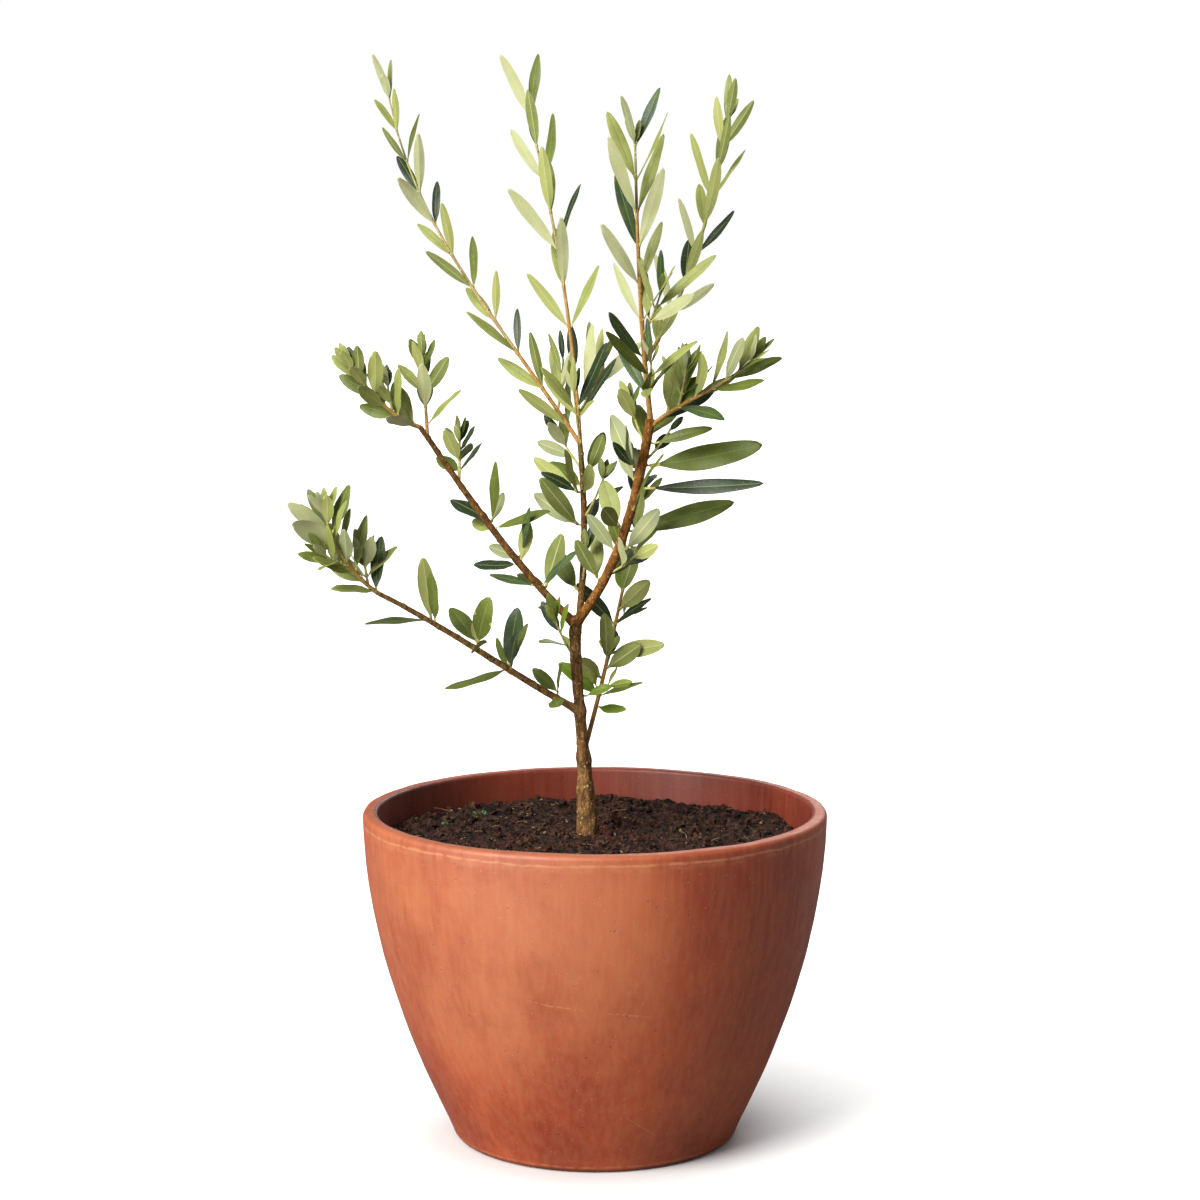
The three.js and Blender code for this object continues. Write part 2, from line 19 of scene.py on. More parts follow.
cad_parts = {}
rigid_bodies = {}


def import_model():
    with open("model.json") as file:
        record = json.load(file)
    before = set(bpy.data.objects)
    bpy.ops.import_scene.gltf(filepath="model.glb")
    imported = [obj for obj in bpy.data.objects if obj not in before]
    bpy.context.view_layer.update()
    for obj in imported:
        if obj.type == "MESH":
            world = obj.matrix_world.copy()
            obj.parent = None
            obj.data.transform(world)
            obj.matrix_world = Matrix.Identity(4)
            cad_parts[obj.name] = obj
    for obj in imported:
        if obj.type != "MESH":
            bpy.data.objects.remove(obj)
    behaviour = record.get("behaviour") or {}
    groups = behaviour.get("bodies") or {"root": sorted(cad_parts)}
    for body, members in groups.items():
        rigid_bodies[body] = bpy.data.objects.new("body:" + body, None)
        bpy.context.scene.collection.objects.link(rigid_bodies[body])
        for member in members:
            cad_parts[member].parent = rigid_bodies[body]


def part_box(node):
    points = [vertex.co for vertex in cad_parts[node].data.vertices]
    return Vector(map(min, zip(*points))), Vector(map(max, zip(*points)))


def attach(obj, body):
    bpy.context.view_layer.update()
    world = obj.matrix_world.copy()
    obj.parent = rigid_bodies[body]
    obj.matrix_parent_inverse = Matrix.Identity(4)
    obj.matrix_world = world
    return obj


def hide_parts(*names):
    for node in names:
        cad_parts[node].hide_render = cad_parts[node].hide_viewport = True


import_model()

log = logging.getLogger("potted_olive")
Pair = tuple[float, float]
Triple = tuple[float, float, float]
Socket = bpy.types.NodeSocket


def mix(low: float, high: float, share: float) -> float:
    """Return the value at a share of the way from low to high."""
    return low + (high - low) * share


def unit(vector: np.ndarray) -> np.ndarray:
    """Return the vector at length one."""
    return vector / np.linalg.norm(vector)


def linear(colour: str) -> tuple[float, float, float, float]:
    """Turn a display colour into the linear values that a shader takes.

    Args:
        colour: The colour as written on a screen, such as "#b9603f".

    Returns:
        Red, green, blue and an alpha of one.
    """
    parts = [int(colour[i:i + 2], 16) / 255 for i in (1, 3, 5)]
    return (*(c / 12.92 if c <= 0.04045 else ((c + 0.055) / 1.055) ** 2.4 for c in parts), 1.0)


def aimed(heading: np.ndarray, rise: float = 1) -> dict[str, object]:
    """Return the azimuth and lean of a limb that sets out along a heading.

    Args:
        heading: The direction in which it sets out.
        rise: The share of its first lean that is left at its tip.

    Returns:
        The two values in degrees, as a limb takes them.
    """
    lean = math.degrees(math.acos(heading[2]))
    return {"azimuth": math.degrees(math.atan2(heading[1], heading[0])), "lean": (lean, lean * rise)}


# The rule of growth, as in the solids. Angles are in degrees.
class Draw:
    """Repeatable random numbers from a seed."""

    MODULUS: ClassVar[int] = 4294967296
    MULTIPLIER: ClassVar[int] = 1664525
    STEP: ClassVar[int] = 1013904223
    SEED_FACTOR: ClassVar[int] = 2654435761
    SEED_STEP: ClassVar[int] = 12345

    def __init__(self, seed: int) -> None:
        """Set the state from the seed and step it once."""
        self.state = (seed * self.SEED_FACTOR + self.SEED_STEP) % self.MODULUS
        self.next()

    def next(self) -> float:
        """Return the next number from 0 to 1."""
        self.state = (self.state * self.MULTIPLIER + self.STEP) % self.MODULUS
        return self.state / self.MODULUS

    def between(self, low: float, high: float) -> float:
        """Return a number from low to high."""
        return mix(low, high, self.next())

    def swing(self, spread: float) -> float:
        """Return a number from minus spread to spread."""
        return self.between(-spread, spread)

    def pick(self, options: Sequence) -> object:
        """Return one of the options."""
        return options[int(self.next() * len(options))]


class Tint(Enum):
    """The colour of a leaf: its upper side, its underside and how glossy its upper side is."""

    SAGE = ("#989f56", "#bcbf92", 0.5)
    OLIVE = ("#687526", "#a5ab60", 0.42)
    DEEP = ("#22320e", "#737f3c", 0.38)
    BLUE = ("#2c3f36", "#949b78", 0.4)
    FRESH = ("#66800a", "#87982e", 0.38)


class Palette(Enum):
    """The tints among which a mass of leaves deals. TIPS and PALE deal mostly the pale sage tint, partly the
    leaves' real colour and partly painted light for leaves at the open tips.
    """

    TIPS = (Tint.SAGE, Tint.SAGE, Tint.OLIVE, Tint.OLIVE, Tint.DEEP)
    PALE = (Tint.SAGE, Tint.SAGE, Tint.SAGE, Tint.OLIVE, Tint.BLUE)
    MIXED = (Tint.OLIVE, Tint.OLIVE, Tint.SAGE, Tint.DEEP, Tint.BLUE)
    SHADE = (Tint.DEEP, Tint.DEEP, Tint.BLUE, Tint.OLIVE)
    BRIGHT = (Tint.FRESH, Tint.OLIVE, Tint.FRESH, Tint.DEEP)
    EVEN = (Tint.OLIVE,)


TIPS, PALE, MIXED, SHADE, BRIGHT, EVEN = Palette


@dataclass(kw_only=True, eq=False)
class Limb:
    """A limb's centre line, with a frame and a radius at every place from 0 at its foot to 1 at its tip.

    Azimuth is the compass direction from +X towards +Y, lean the angle from upright at the foot and the tip,
    bow the extra lean half way along, and turn the change of azimuth from foot to tip.
    """

    name: str = ""
    parent: str = ""
    at: float = 0
    azimuth: float
    lean: Pair
    length: float
    radius: Pair
    bow: float = 0
    turn: float = 0
    flare: float = 0
    flare_reach: float = 1
    points: np.ndarray = field(init=False, repr=False, default=None)

    STEPS: ClassVar[int] = 12
    ROOT_DEPTH: ClassVar[float] = 0.6

    def grow_from(self, start: np.ndarray) -> "Limb":
        """Lay the centre line out from its foot and return the limb."""
        points = [np.array(start, float)]
        for i in range(self.STEPS):
            points.append(points[-1] + self.heading((i + 0.5) / self.STEPS) * (self.length / self.STEPS))
        self.points = np.array(points)
        return self

    def heading(self, t: float) -> np.ndarray:
        """Return the direction of growth at a place."""
        lean = math.radians(mix(*self.lean, t) + self.bow * math.sin(math.pi * t))
        azimuth = math.radians(self.azimuth + self.turn * t)
        level = math.sin(lean)
        return np.array((level * math.cos(azimuth), level * math.sin(azimuth), math.cos(lean)))

    def side(self, t: float, roll: float) -> np.ndarray:
        """Return the direction square to the limb at a roll: 0 is level, 90 is its outer, lower side."""
        azimuth = math.radians(self.azimuth + self.turn * t)
        level = np.array((-math.sin(azimuth), math.cos(azimuth), 0.0))
        below = np.cross(level, self.heading(t))
        return level * math.cos(math.radians(roll)) + below * math.sin(math.radians(roll))

    def point_at(self, t: float) -> np.ndarray:
        """Return the point of the centre line at a place."""
        place = min(max(t, 0), 1) * self.STEPS
        i = min(int(place), self.STEPS - 1)
        return mix(self.points[i], self.points[i + 1], place - i)

    def radius_at(self, t: float) -> float:
        """Return the limb's radius at a place."""
        from_foot = t * self.length / self.flare_reach
        return mix(*self.radius, t) + self.flare * math.exp(-from_foot * from_foot)

    def branch(self, t: float, roll: float, opening: float) -> np.ndarray:
        """Return the direction of a branch at a place, by its roll and its opening in degrees."""
        angle = math.radians(opening)
        return self.heading(t) * math.cos(angle) + self.side(t, roll) * math.sin(angle)

    def root_at(self, t: float, roll: float) -> np.ndarray:
        """Return the point under the limb's skin at which a leaf has its root."""
        return self.point_at(t) + self.side(t, roll) * (self.radius_at(t) * self.ROOT_DEPTH)


@dataclass(kw_only=True, eq=False)
class Shoot(Limb):
    """A leafy shoot: its stem, and how pairs of leaves and side twigs stand on it.

    Leaf is the leaf's length near the foot and the tip, wide its width as a share of its length, open its
    angle to the stem, first the place of the first pair, crowd the ratio of each gap between pairs to the one
    below it, and twigs the place and roll of each side twig.
    """

    leaf: Pair
    wide: float
    open: Pair
    pairs: int
    first: float
    crowd: float
    roll: float
    twigs: tuple[Pair, ...] = ()
    seed: int
    palette: Palette


@dataclass(frozen=True)
class Spur:
    """A leaf or a small fan of leaves straight from a limb, turned to a side of it by its roll.

    Leaf is a leaf's length, wide its width as a share of its length, open its angle to the limb, fan the turn
    round the limb from the first leaf to the last, and twist each leaf's turn on its own midrib.
    """

    at: float
    roll: float
    open: float
    leaf: float
    wide: float
    fan: float = 0
    count: int = 1
    twist: float = 20
    palette: Palette = MIXED


TRUNK = Limb(
    name="trunk", azimuth=180, lean=(0, 0), bow=4.8, length=0.151, radius=(0.0037, 0.0037), flare=0.0026,
    flare_reach=0.045,
)
TRUNK_FOOT = (-0.0055, 0.0, 0.2094)
BOUGHS = (
    Limb(name="bough_low_left", parent="trunk", at=0.57, azimuth=212, lean=(61, 63), bow=-4, length=0.18,
         radius=(0.0026, 0.0015)),
    Limb(name="bough_mid_left", parent="trunk", at=0.97, azimuth=163, lean=(48, 36), bow=-3, length=0.174,
         radius=(0.0028, 0.0018)),
    Limb(name="bough_leader", parent="trunk", at=0.97, azimuth=335, lean=(41, 10), bow=-6, length=0.154,
         radius=(0.0032, 0.0032)),
    Limb(name="bough_back", parent="trunk", at=0.87, azimuth=50, lean=(13, 10), turn=70, length=0.14,
         radius=(0.0025, 0.0018)),
)
SHOOTS = (
    Shoot(name="foliage_low_left_tip", parent="bough_low_left", at=1, azimuth=196, lean=(54, 12), length=0.064,
          radius=(0.0014, 0.0007), leaf=(0.038, 0.034), wide=0.36, open=(56, 36), pairs=9, first=0.05,
          crowd=0.93, roll=255, twigs=((0.12, 250), (0.4, 80)), seed=2, palette=PALE),
    Shoot(name="foliage_mid_left_outer", parent="bough_mid_left", at=1, azimuth=195, lean=(72, 36), bow=-8,
          length=0.064, radius=(0.0016, 0.0007), leaf=(0.034, 0.027), wide=0.38, open=(52, 30), pairs=7,
          first=0.1, crowd=0.88, roll=30, twigs=((0.35, 260),), seed=3, palette=TIPS),
    Shoot(name="foliage_mid_left_upper", parent="bough_mid_left", at=0.95, azimuth=110, lean=(12, 10),
          length=0.058, radius=(0.0013, 0.0007), leaf=(0.036, 0.028), wide=0.34, open=(58, 30), pairs=6,
          first=0.18, crowd=0.9, roll=30, seed=4, palette=TIPS),
    Shoot(name="foliage_mid_left_spur", parent="bough_mid_left", at=0.73, azimuth=90, lean=(40, 10),
          length=0.032, radius=(0.0012, 0.0007), leaf=(0.028, 0.026), wide=0.4, open=(60, 36), pairs=4,
          first=0.35, crowd=0.9, roll=30, seed=14, palette=MIXED),
    Shoot(name="foliage_long_left", parent="bough_back", at=1, azimuth=150, lean=(38, 12), bow=11, turn=10,
          length=0.284, radius=(0.0017, 0.0006), leaf=(0.036, 0.038), wide=0.28, open=(44, 26), pairs=11,
          first=0.06, crowd=0.96, roll=30, twigs=((0.1, 250),), seed=5, palette=TIPS),
    Shoot(name="foliage_back_left", parent="bough_back", at=0.93, azimuth=112, lean=(8, 25), bow=3, turn=10,
          length=0.25, radius=(0.0016, 0.0007), leaf=(0.036, 0.054), wide=0.26, open=(48, 20), pairs=9,
          first=0.12, crowd=0.96, roll=30, twigs=((0.05, 300), (0.12, 160)), seed=6, palette=TIPS),
    Shoot(name="foliage_centre", parent="bough_leader", at=1, azimuth=250, lean=(20, 4), bow=-3, length=0.184,
          radius=(0.0021, 0.0008), leaf=(0.046, 0.06), wide=0.29, open=(54, 30), pairs=8, first=0.1,
          crowd=0.97, roll=30, twigs=((0.08, 60), (0.2, 320), (0.32, 30)), seed=7, palette=PALE),
    Shoot(name="foliage_right", parent="bough_leader", at=0.96, azimuth=338, lean=(48, 46), bow=16,
          length=0.086, radius=(0.0017, 0.0007), leaf=(0.04, 0.034), wide=0.33, open=(54, 30), pairs=7,
          first=0.14, crowd=0.92, roll=30, twigs=((0.3, 250),), seed=8, palette=MIXED),
    Shoot(name="foliage_tall_right", parent="foliage_centre", at=0.22, azimuth=40, lean=(41, 12), bow=-3,
          length=0.178, radius=(0.0015, 0.0007), leaf=(0.036, 0.044), wide=0.27, open=(46, 24), pairs=9,
          first=0.1, crowd=0.95, roll=30, seed=9, palette=TIPS),
    Shoot(name="foliage_low_right", parent="trunk", at=0.37, azimuth=58, lean=(29, 22), bow=-2, length=0.186,
          radius=(0.0018, 0.0008), leaf=(0.04, 0.04), wide=0.32, open=(66, 36), pairs=7, first=0.24,
          crowd=0.95, roll=150, seed=1, palette=BRIGHT),
)
SPURS = {
    "bough_leader": (
        Spur(0.8, roll=62, open=78, leaf=0.076, twist=60, wide=0.23, palette=EVEN),
        Spur(0.7, roll=75, open=92, leaf=0.082, twist=60, wide=0.13, palette=SHADE),
        Spur(0.5, roll=60, open=68, leaf=0.074, twist=60, wide=0.25, palette=EVEN),
        Spur(0.9, roll=80, open=84, leaf=0.044, twist=60, wide=0.25, palette=EVEN),
        Spur(0.6, roll=140, open=42, leaf=0.062, twist=10, wide=0.32, palette=SHADE),
        Spur(0.42, roll=90, fan=60, open=34, leaf=0.038, count=2, twist=50, wide=0.32, palette=SHADE),
        Spur(0.24, roll=270, fan=90, open=62, leaf=0.038, count=2, twist=50, wide=0.34),
        Spur(0.5, roll=240, fan=110, open=70, leaf=0.038, count=2, twist=50, wide=0.36),
        Spur(0.78, roll=240, fan=120, open=60, leaf=0.04, count=3, twist=50, wide=0.34, palette=SHADE),
        Spur(0.93, roll=110, fan=120, open=66, leaf=0.058, count=2, twist=50, wide=0.28),
    ),
    "bough_low_left": (
        Spur(0.12, roll=250, fan=110, open=60, leaf=0.024, count=2, twist=30, wide=0.34, palette=BRIGHT),
        Spur(0.35, roll=200, fan=170, open=66, leaf=0.046, count=3, twist=50, wide=0.3),
        Spur(0.53, roll=260, fan=110, open=60, leaf=0.036, count=3, twist=60, wide=0.4),
        Spur(0.74, roll=200, fan=170, open=50, leaf=0.048, count=2, twist=50, wide=0.25),
    ),
    "bough_mid_left": (
        Spur(0.09, roll=120, open=60, leaf=0.024, twist=50, wide=0.3),
        Spur(0.19, roll=200, fan=160, open=66, leaf=0.036, count=2, twist=50, wide=0.3, palette=SHADE),
        Spur(0.35, roll=200, fan=170, open=62, leaf=0.038, count=3, twist=50, wide=0.26),
        Spur(0.53, roll=200, fan=170, open=62, leaf=0.05, count=3, twist=50, wide=0.28),
    ),
    "bough_back": (
        Spur(0.28, roll=20, fan=60, open=62, leaf=0.044, count=2, twist=40, wide=0.26, palette=SHADE),
        Spur(0.45, roll=200, fan=120, open=54, leaf=0.034, count=2, twist=50, wide=0.3),
        Spur(0.6, roll=0, fan=90, open=66, leaf=0.044, count=3, twist=50, wide=0.3, palette=SHADE),
        Spur(0.76, roll=350, fan=120, open=72, leaf=0.05, count=3, twist=40, wide=0.28),
        Spur(0.86, roll=200, fan=120, open=54, leaf=0.036, count=2, twist=50, wide=0.32),
    ),
    "trunk": (
        Spur(0.8, roll=200, fan=120, open=60, leaf=0.024, count=2, twist=50, wide=0.3, palette=BRIGHT),
        Spur(0.64, roll=280, open=80, leaf=0.02, twist=50, wide=0.4, palette=BRIGHT),
    ),
}
# Leaves that the solids leave out: the mass that a row adds to, the seed of its random numbers, and the leaves.
# They stand on the limb that carries the mass, or on the mass's own shoot.
ADDED_LEAVES = (
    ("foliage_centre", 1507,
     Spur(0.11, roll=25, fan=70, open=62, leaf=0.036, count=2, twist=50, wide=0.4, palette=SHADE)),
    ("foliage_right", 1508,
     Spur(0.2, roll=260, fan=80, open=56, leaf=0.038, count=2, twist=50, wide=0.36, palette=PALE)),
    ("leaves_low_left_12", 1513, Spur(0.37, roll=285, open=78, leaf=0.034, wide=0.25, palette=SHADE)),
    ("leaves_mid_left_17", 1514, Spur(0.5, roll=270, open=125, leaf=0.04, wide=0.27, palette=PALE)),
    ("leaves_mid_left_16", 1518, Spur(0.22, roll=90, open=52, leaf=0.034, wide=0.22)),
    ("leaves_mid_left_16", 1519, Spur(0.2, roll=285, open=100, leaf=0.034, wide=0.24, palette=SHADE)),
    ("foliage_right", 1524, Spur(0.16, roll=350, open=15, leaf=0.042, wide=0.4, palette=BRIGHT)),
    ("foliage_low_right", 1525, Spur(0.57, roll=180, open=60, leaf=0.032, wide=0.42, palette=EVEN)),
    ("foliage_low_right", 1526, Spur(0.4, roll=165, open=95, leaf=0.038, wide=0.3, palette=EVEN)),
    ("foliage_low_right", 1527, Spur(0.34, roll=178, open=70, leaf=0.033, wide=0.42, palette=SHADE)),
    ("foliage_low_right", 1528, Spur(0.3, roll=320, open=95, leaf=0.023, wide=0.6, palette=EVEN)),
    ("foliage_low_right", 1529, Spur(0.19, roll=180, open=100, leaf=0.027, wide=0.45, palette=BRIGHT)),
)
# How much longer and wider a mass's leaves are than the rows above say, and its share of small sprigs.
DRESSING = {
    "foliage_long_left": (1.2, 0.66, 0.0), "foliage_back_left": (1.22, 0.72, 0.0),
    "foliage_tall_right": (1.16, 0.66, 0.0), "foliage_centre": (1.06, 0.62, 0.1),
    "foliage_right": (1.08, 0.8, 0.0), "foliage_low_left_tip": (1.04, 0.94, 0.1),
}
# How far from its tip a shoot turns brown, where that isn't the usual distance.
BROWN_FROM = {
    "foliage_centre": 0.045, "foliage_back_left": 0.1, "foliage_right": 0.035, "foliage_low_right": 0.03,
    "foliage_mid_left_outer": 0.03, "foliage_low_left_tip": 0.035, "foliage_mid_left_upper": 0.04,
}


@dataclass(frozen=True)
class GrowthRule:
    """How leaves and twigs stand on a stem, how much they vary, and how far apart masses keep."""

    lift: float = 0.3
    taper_from: float = 0.6
    taper: float = 0.3
    open_swing: float = 9
    roll_swing: float = 16
    twist_swing: float = 45
    length_vary: Pair = (0.8, 1.12)
    wide_vary: Pair = (0.85, 1.12)
    curl: Pair = (-25, 18)
    sink: float = 0.002
    clearance: float = 0.001
    reach: float = 0.095
    ball_spacing: float = 0.004
    near_stem: int = 2
    twig_open: float = 42
    twig_rise: float = 0.6
    twig_length: float = 0.036
    twig_share: float = 0.3
    short_shoot: float = 0.1
    twig_radius: Pair = (0.001, 0.0006)
    twig_pairs: int = 3
    twig_first: float = 0.4
    twig_leaf: Pair = (0.8, 0.7)
    spur_seed: int = 100
    spur_tint_seed: int = 200
    spur_stalk: float = 0.003
    spur_sink: float = 0.15
    spur_middle: float = 0.55
    spur_open: float = 8
    spur_roll: float = 12
    spur_twist: float = 15
    spur_length: Pair = (0.85, 1.1)


@dataclass(frozen=True)
class SprigRule:
    """The finer growth that follows the rule.

    A young pair closes each tip, small sprigs stand in the axils where pairs are far apart, and sprays and
    shorter leaves fill the far sides of the limbs at the spurs.
    """

    share: float = 0.4
    roomy: float = 0.012
    open: float = 34
    length: Pair = (0.004, 0.009)
    radius: Pair = (0.0006, 0.0004)
    leaf: Pair = (0.5, 0.85)
    wide: float = 0.34
    leaf_open: Pair = (14, 40)
    tip_leaf: Pair = (0.013, 0.02)
    tip_open: Pair = (8, 20)
    sprig_seed: int = 500
    spray_seed: int = 1000
    inner: ClassVar[dict[str, int]] = {"bough_low_left": 1, "bough_mid_left": 2}
    inner_most: int = 4
    inner_swing: float = 0.03
    inner_twist: float = 60
    inner_roll: Pair = (60, 300)
    inner_open: Pair = (38, 78)
    inner_leaf: Pair = (0.026, 0.04)
    spray_swing: float = 0.04
    spray_open: float = 40
    spray_roll: float = 50
    spray_length: Pair = (0.022, 0.036)
    spray_leaf: Pair = (0.03, 0.024)
    spray_leaf_open: Pair = (56, 30)
    spray_pairs: int = 3
    spray_first: float = 0.45
    spray_crowd: float = 0.9
    spray_bare: int = 4


class Leaf:
    """One leaf: its midrib, its width, the directions across it and out of its underside, and its tint."""

    STEPS: ClassVar[int] = 8
    BEND_FROM: ClassVar[float] = 0.3
    ROOT_WIDTH: ClassVar[float] = 0.16
    STALK: ClassVar[float] = 0.1
    FORWARD: ClassVar[float] = 0.9
    FULLNESS: ClassVar[float] = 0.62
    LIGHT: ClassVar[np.ndarray] = unit(np.array((-0.4, -0.75, 0.5)))
    LIGHT_SHARE: ClassVar[float] = 0.6

    def __init__(self, root: np.ndarray, stem: np.ndarray, side: np.ndarray, opening: float, length: float,
                 wide: float, twist: float, curl: float, lift: float, tint: Tint) -> None:
        """Lay the leaf out from its root.

        Args:
            root: Where it leaves the stem.
            stem: The stem's direction there.
            side: The side of the stem that it stands on.
            opening: Its angle to the stem in degrees.
            length: Its length.
            wide: Its width as a share of its length.
            twist: Its turn on its own midrib in degrees.
            curl: Its bend from root to tip in degrees.
            lift: How strongly it turns upwards.
            tint: Its colour.
        """
        along = stem * math.cos(math.radians(opening)) + side * math.sin(math.radians(opening))
        along = unit(along + np.array((0, 0, lift)))
        across = np.cross(stem, side)
        across = unit(across - along * across.dot(along))
        turned = math.radians(-twist)
        across = across * math.cos(turned) + np.cross(along, across) * math.sin(turned)
        turned = self.turn_to_light(along, across)
        across = across * math.cos(turned) + np.cross(along, across) * math.sin(turned)
        self.length, self.width, self.tint = length, length * wide, tint
        self.along, self.across, self.face = along, across, -np.cross(along, across)
        points = [np.array(root, float)]
        for i in range(self.STEPS):
            bend = math.radians(curl) * (i / self.STEPS - self.BEND_FROM)
            step = along * math.cos(bend) - self.face * math.sin(bend)
            points.append(points[-1] + step * (length / self.STEPS))
        self.midrib = np.array(points)

    def turn_to_light(self, along: np.ndarray, across: np.ndarray) -> float:
        """Return the turn on the midrib that brings the nearer face part of the way to the light."""
        normal = np.cross(along, across)
        angle = math.atan2(self.LIGHT.dot(across), self.LIGHT.dot(normal))
        return -self.LIGHT_SHARE * ((angle + math.pi / 2) % math.pi - math.pi / 2)

    def blade(self, t: np.ndarray) -> np.ndarray:
        """Return the width at places along the leaf as a share of its greatest width: a stalk, then a lance."""
        along = np.clip(t - self.STALK, 0, 1) / (1 - self.STALK)
        lance = np.sin(np.pi * along ** self.FORWARD).clip(0) ** self.FULLNESS
        return np.where(t >= 1, 0.0, np.maximum(self.ROOT_WIDTH, lance))

    def half_width(self, t: np.ndarray) -> np.ndarray:
        """Return the distance from midrib to edge at places along the leaf."""
        return 0.5 * self.width * self.blade(t)


@dataclass
class Mass:
    """The leaves and stems of one mass of foliage, and the places on its stems where leaves stand."""

    name: str
    bough: str
    palette: Palette
    stems: list[Limb]
    leaves: list[Leaf] = field(default_factory=list)
    knots: list[tuple[int, float, float]] = field(default_factory=list)


class Crown:
    """Every limb's centre line, and each mass of foliage grown on them and kept apart from the others."""

    def __init__(self, rule: GrowthRule, sprigs: SprigRule) -> None:
        """Grow the limbs, then the shoots, the spurs, the added leaves, the sprays and the finer sprigs."""
        self.rule, self.sprigs = rule, sprigs
        self.limbs: dict[str, Limb] = {}
        self.claimed: dict[str, list[tuple[np.ndarray, np.ndarray]]] = {}
        self.masses: list[Mass] = []
        self.spurs: list[tuple[Mass, Limb, Spur]] = []
        for limb in (TRUNK, *BOUGHS, *SHOOTS):
            self.add_limb(limb)
        for shoot in SHOOTS:
            self.grow_shoot(shoot)
        rows = [(limb, spur) for limb, spurs in SPURS.items() for spur in spurs]
        for index, (limb, spur) in enumerate(rows):
            self.grow_spur(self.limbs[limb], spur, index)
        masses = {mass.name: mass for mass in self.masses}
        for name, seed, spur in ADDED_LEAVES:
            mass = masses[name]
            self.grow_fan(mass, self.limbs[mass.stems[0].name or mass.bough], spur, Draw(seed))
        for index, (mass, limb, spur) in enumerate(self.spurs):
            draw = Draw(sprigs.spray_seed + index)
            self.grow_spray(mass, limb, spur, draw)
            self.grow_inner_leaves(mass, limb, spur, draw)
        for index, mass in enumerate(self.masses):
            self.grow_sprigs(mass, Draw(sprigs.sprig_seed + index))

    def add_limb(self, limb: Limb) -> None:
        """Place a limb on its parent and mark its space as taken."""
        start = self.limbs[limb.parent].point_at(limb.at) if limb.parent else TRUNK_FOOT
        self.limbs[limb.name] = limb.grow_from(start)
        self.claim_limb(limb.name, limb)

    def claim_limb(self, owner: str, limb: Limb) -> None:
        """Mark the space of a limb as taken, ball by ball."""
        balls = math.ceil(limb.length / self.rule.ball_spacing)
        places = [i / balls for i in range(balls + 1)]
        centres = np.array([limb.point_at(t) for t in places])
        self.claim(owner, centres, np.array([limb.radius_at(t) for t in places]))

    def claim(self, owner: str, centres: np.ndarray, radii: np.ndarray) -> None:
        """Mark balls as taken by an owner."""
        self.claimed.setdefault(owner, []).append((centres, radii))

    def is_clear(self, owner: str, centres: np.ndarray, radii: np.ndarray) -> bool:
        """Say whether none of the balls comes near what another owner has claimed."""
        for other, parts in self.claimed.items():
            if other == owner:
                continue
            taken, reach = (np.concatenate(column) for column in zip(*parts))
            gaps = np.linalg.norm(centres[:, None] - taken[None], axis=2)
            if (gaps <= radii[:, None] + reach[None] + self.rule.clearance).any():
                return False
        return True

    def add_leaf(self, mass: Mass, leaf: Leaf) -> None:
        """Add a leaf to a mass unless it would touch another mass or limb, or leave the mass's own space."""
        first = self.rule.near_stem
        centres = leaf.midrib[first:]
        radii = leaf.half_width(np.arange(first, Leaf.STEPS + 1) / Leaf.STEPS)
        apart = np.linalg.norm(mass.stems[0].points - centres[-1], axis=1)
        if apart.min() < self.rule.reach and self.is_clear(mass.name, centres, radii):
            mass.leaves.append(leaf)
            self.claim(mass.name, centres, radii)

    def bough_of(self, limb: Limb) -> str:
        """Return the name of the bough, or the trunk, that carries a shoot."""
        parent = self.limbs[limb.parent]
        return self.bough_of(parent) if isinstance(parent, Shoot) else parent.name

    def grow_shoot(self, shoot: Shoot) -> None:
        """Grow a shoot's pairs of leaves and its side twigs."""
        draw = Draw(shoot.seed)
        mass = Mass(shoot.name, self.bough_of(shoot), shoot.palette, [shoot])
        self.grow_pairs(mass, shoot, shoot, draw)
        for at, roll in shoot.twigs:
            self.grow_twig(mass, shoot, at, roll, draw)
        self.masses.append(mass)

    def grow_pairs(self, mass: Mass, stem: Limb, row: Shoot, draw: Draw) -> None:
        """Set pairs of leaves along a stem, each turned a quarter round from the pair below."""
        rule, tints = self.rule, Draw(row.seed + row.pairs)
        longer, wider, _ = DRESSING.get(mass.name, (1.0, 1.0, 0.0))
        place = row.first
        gap = (1 - row.first) * (1 - row.crowd) / (1 - row.crowd ** (row.pairs - 1))
        for i in range(row.pairs):
            rise = i / (row.pairs - 1)
            taper = 1 - rule.taper * max(rise - rule.taper_from, 0) / (1 - rule.taper_from)
            for half in (0, 180):
                opening = mix(*row.open, rise) + draw.swing(rule.open_swing)
                roll = row.roll + 90 * i + half + draw.swing(rule.roll_swing)
                length = mix(*row.leaf, rise) * taper * draw.between(*rule.length_vary)
                length, wide = length * longer, row.wide * wider * draw.between(*rule.wide_vary)
                twist, curl = draw.swing(rule.twist_swing), draw.between(*rule.curl)
                root = stem.point_at(place - rule.sink / stem.length)
                self.add_leaf(mass, Leaf(root, stem.heading(place), stem.side(place, roll), opening, length,
                                         wide, twist, curl, rule.lift, tints.pick(mass.palette.value)))
            mass.knots.append((mass.stems.index(stem), place, row.roll + 90 * i))
            place = min(place + gap, 1)
            gap *= row.crowd

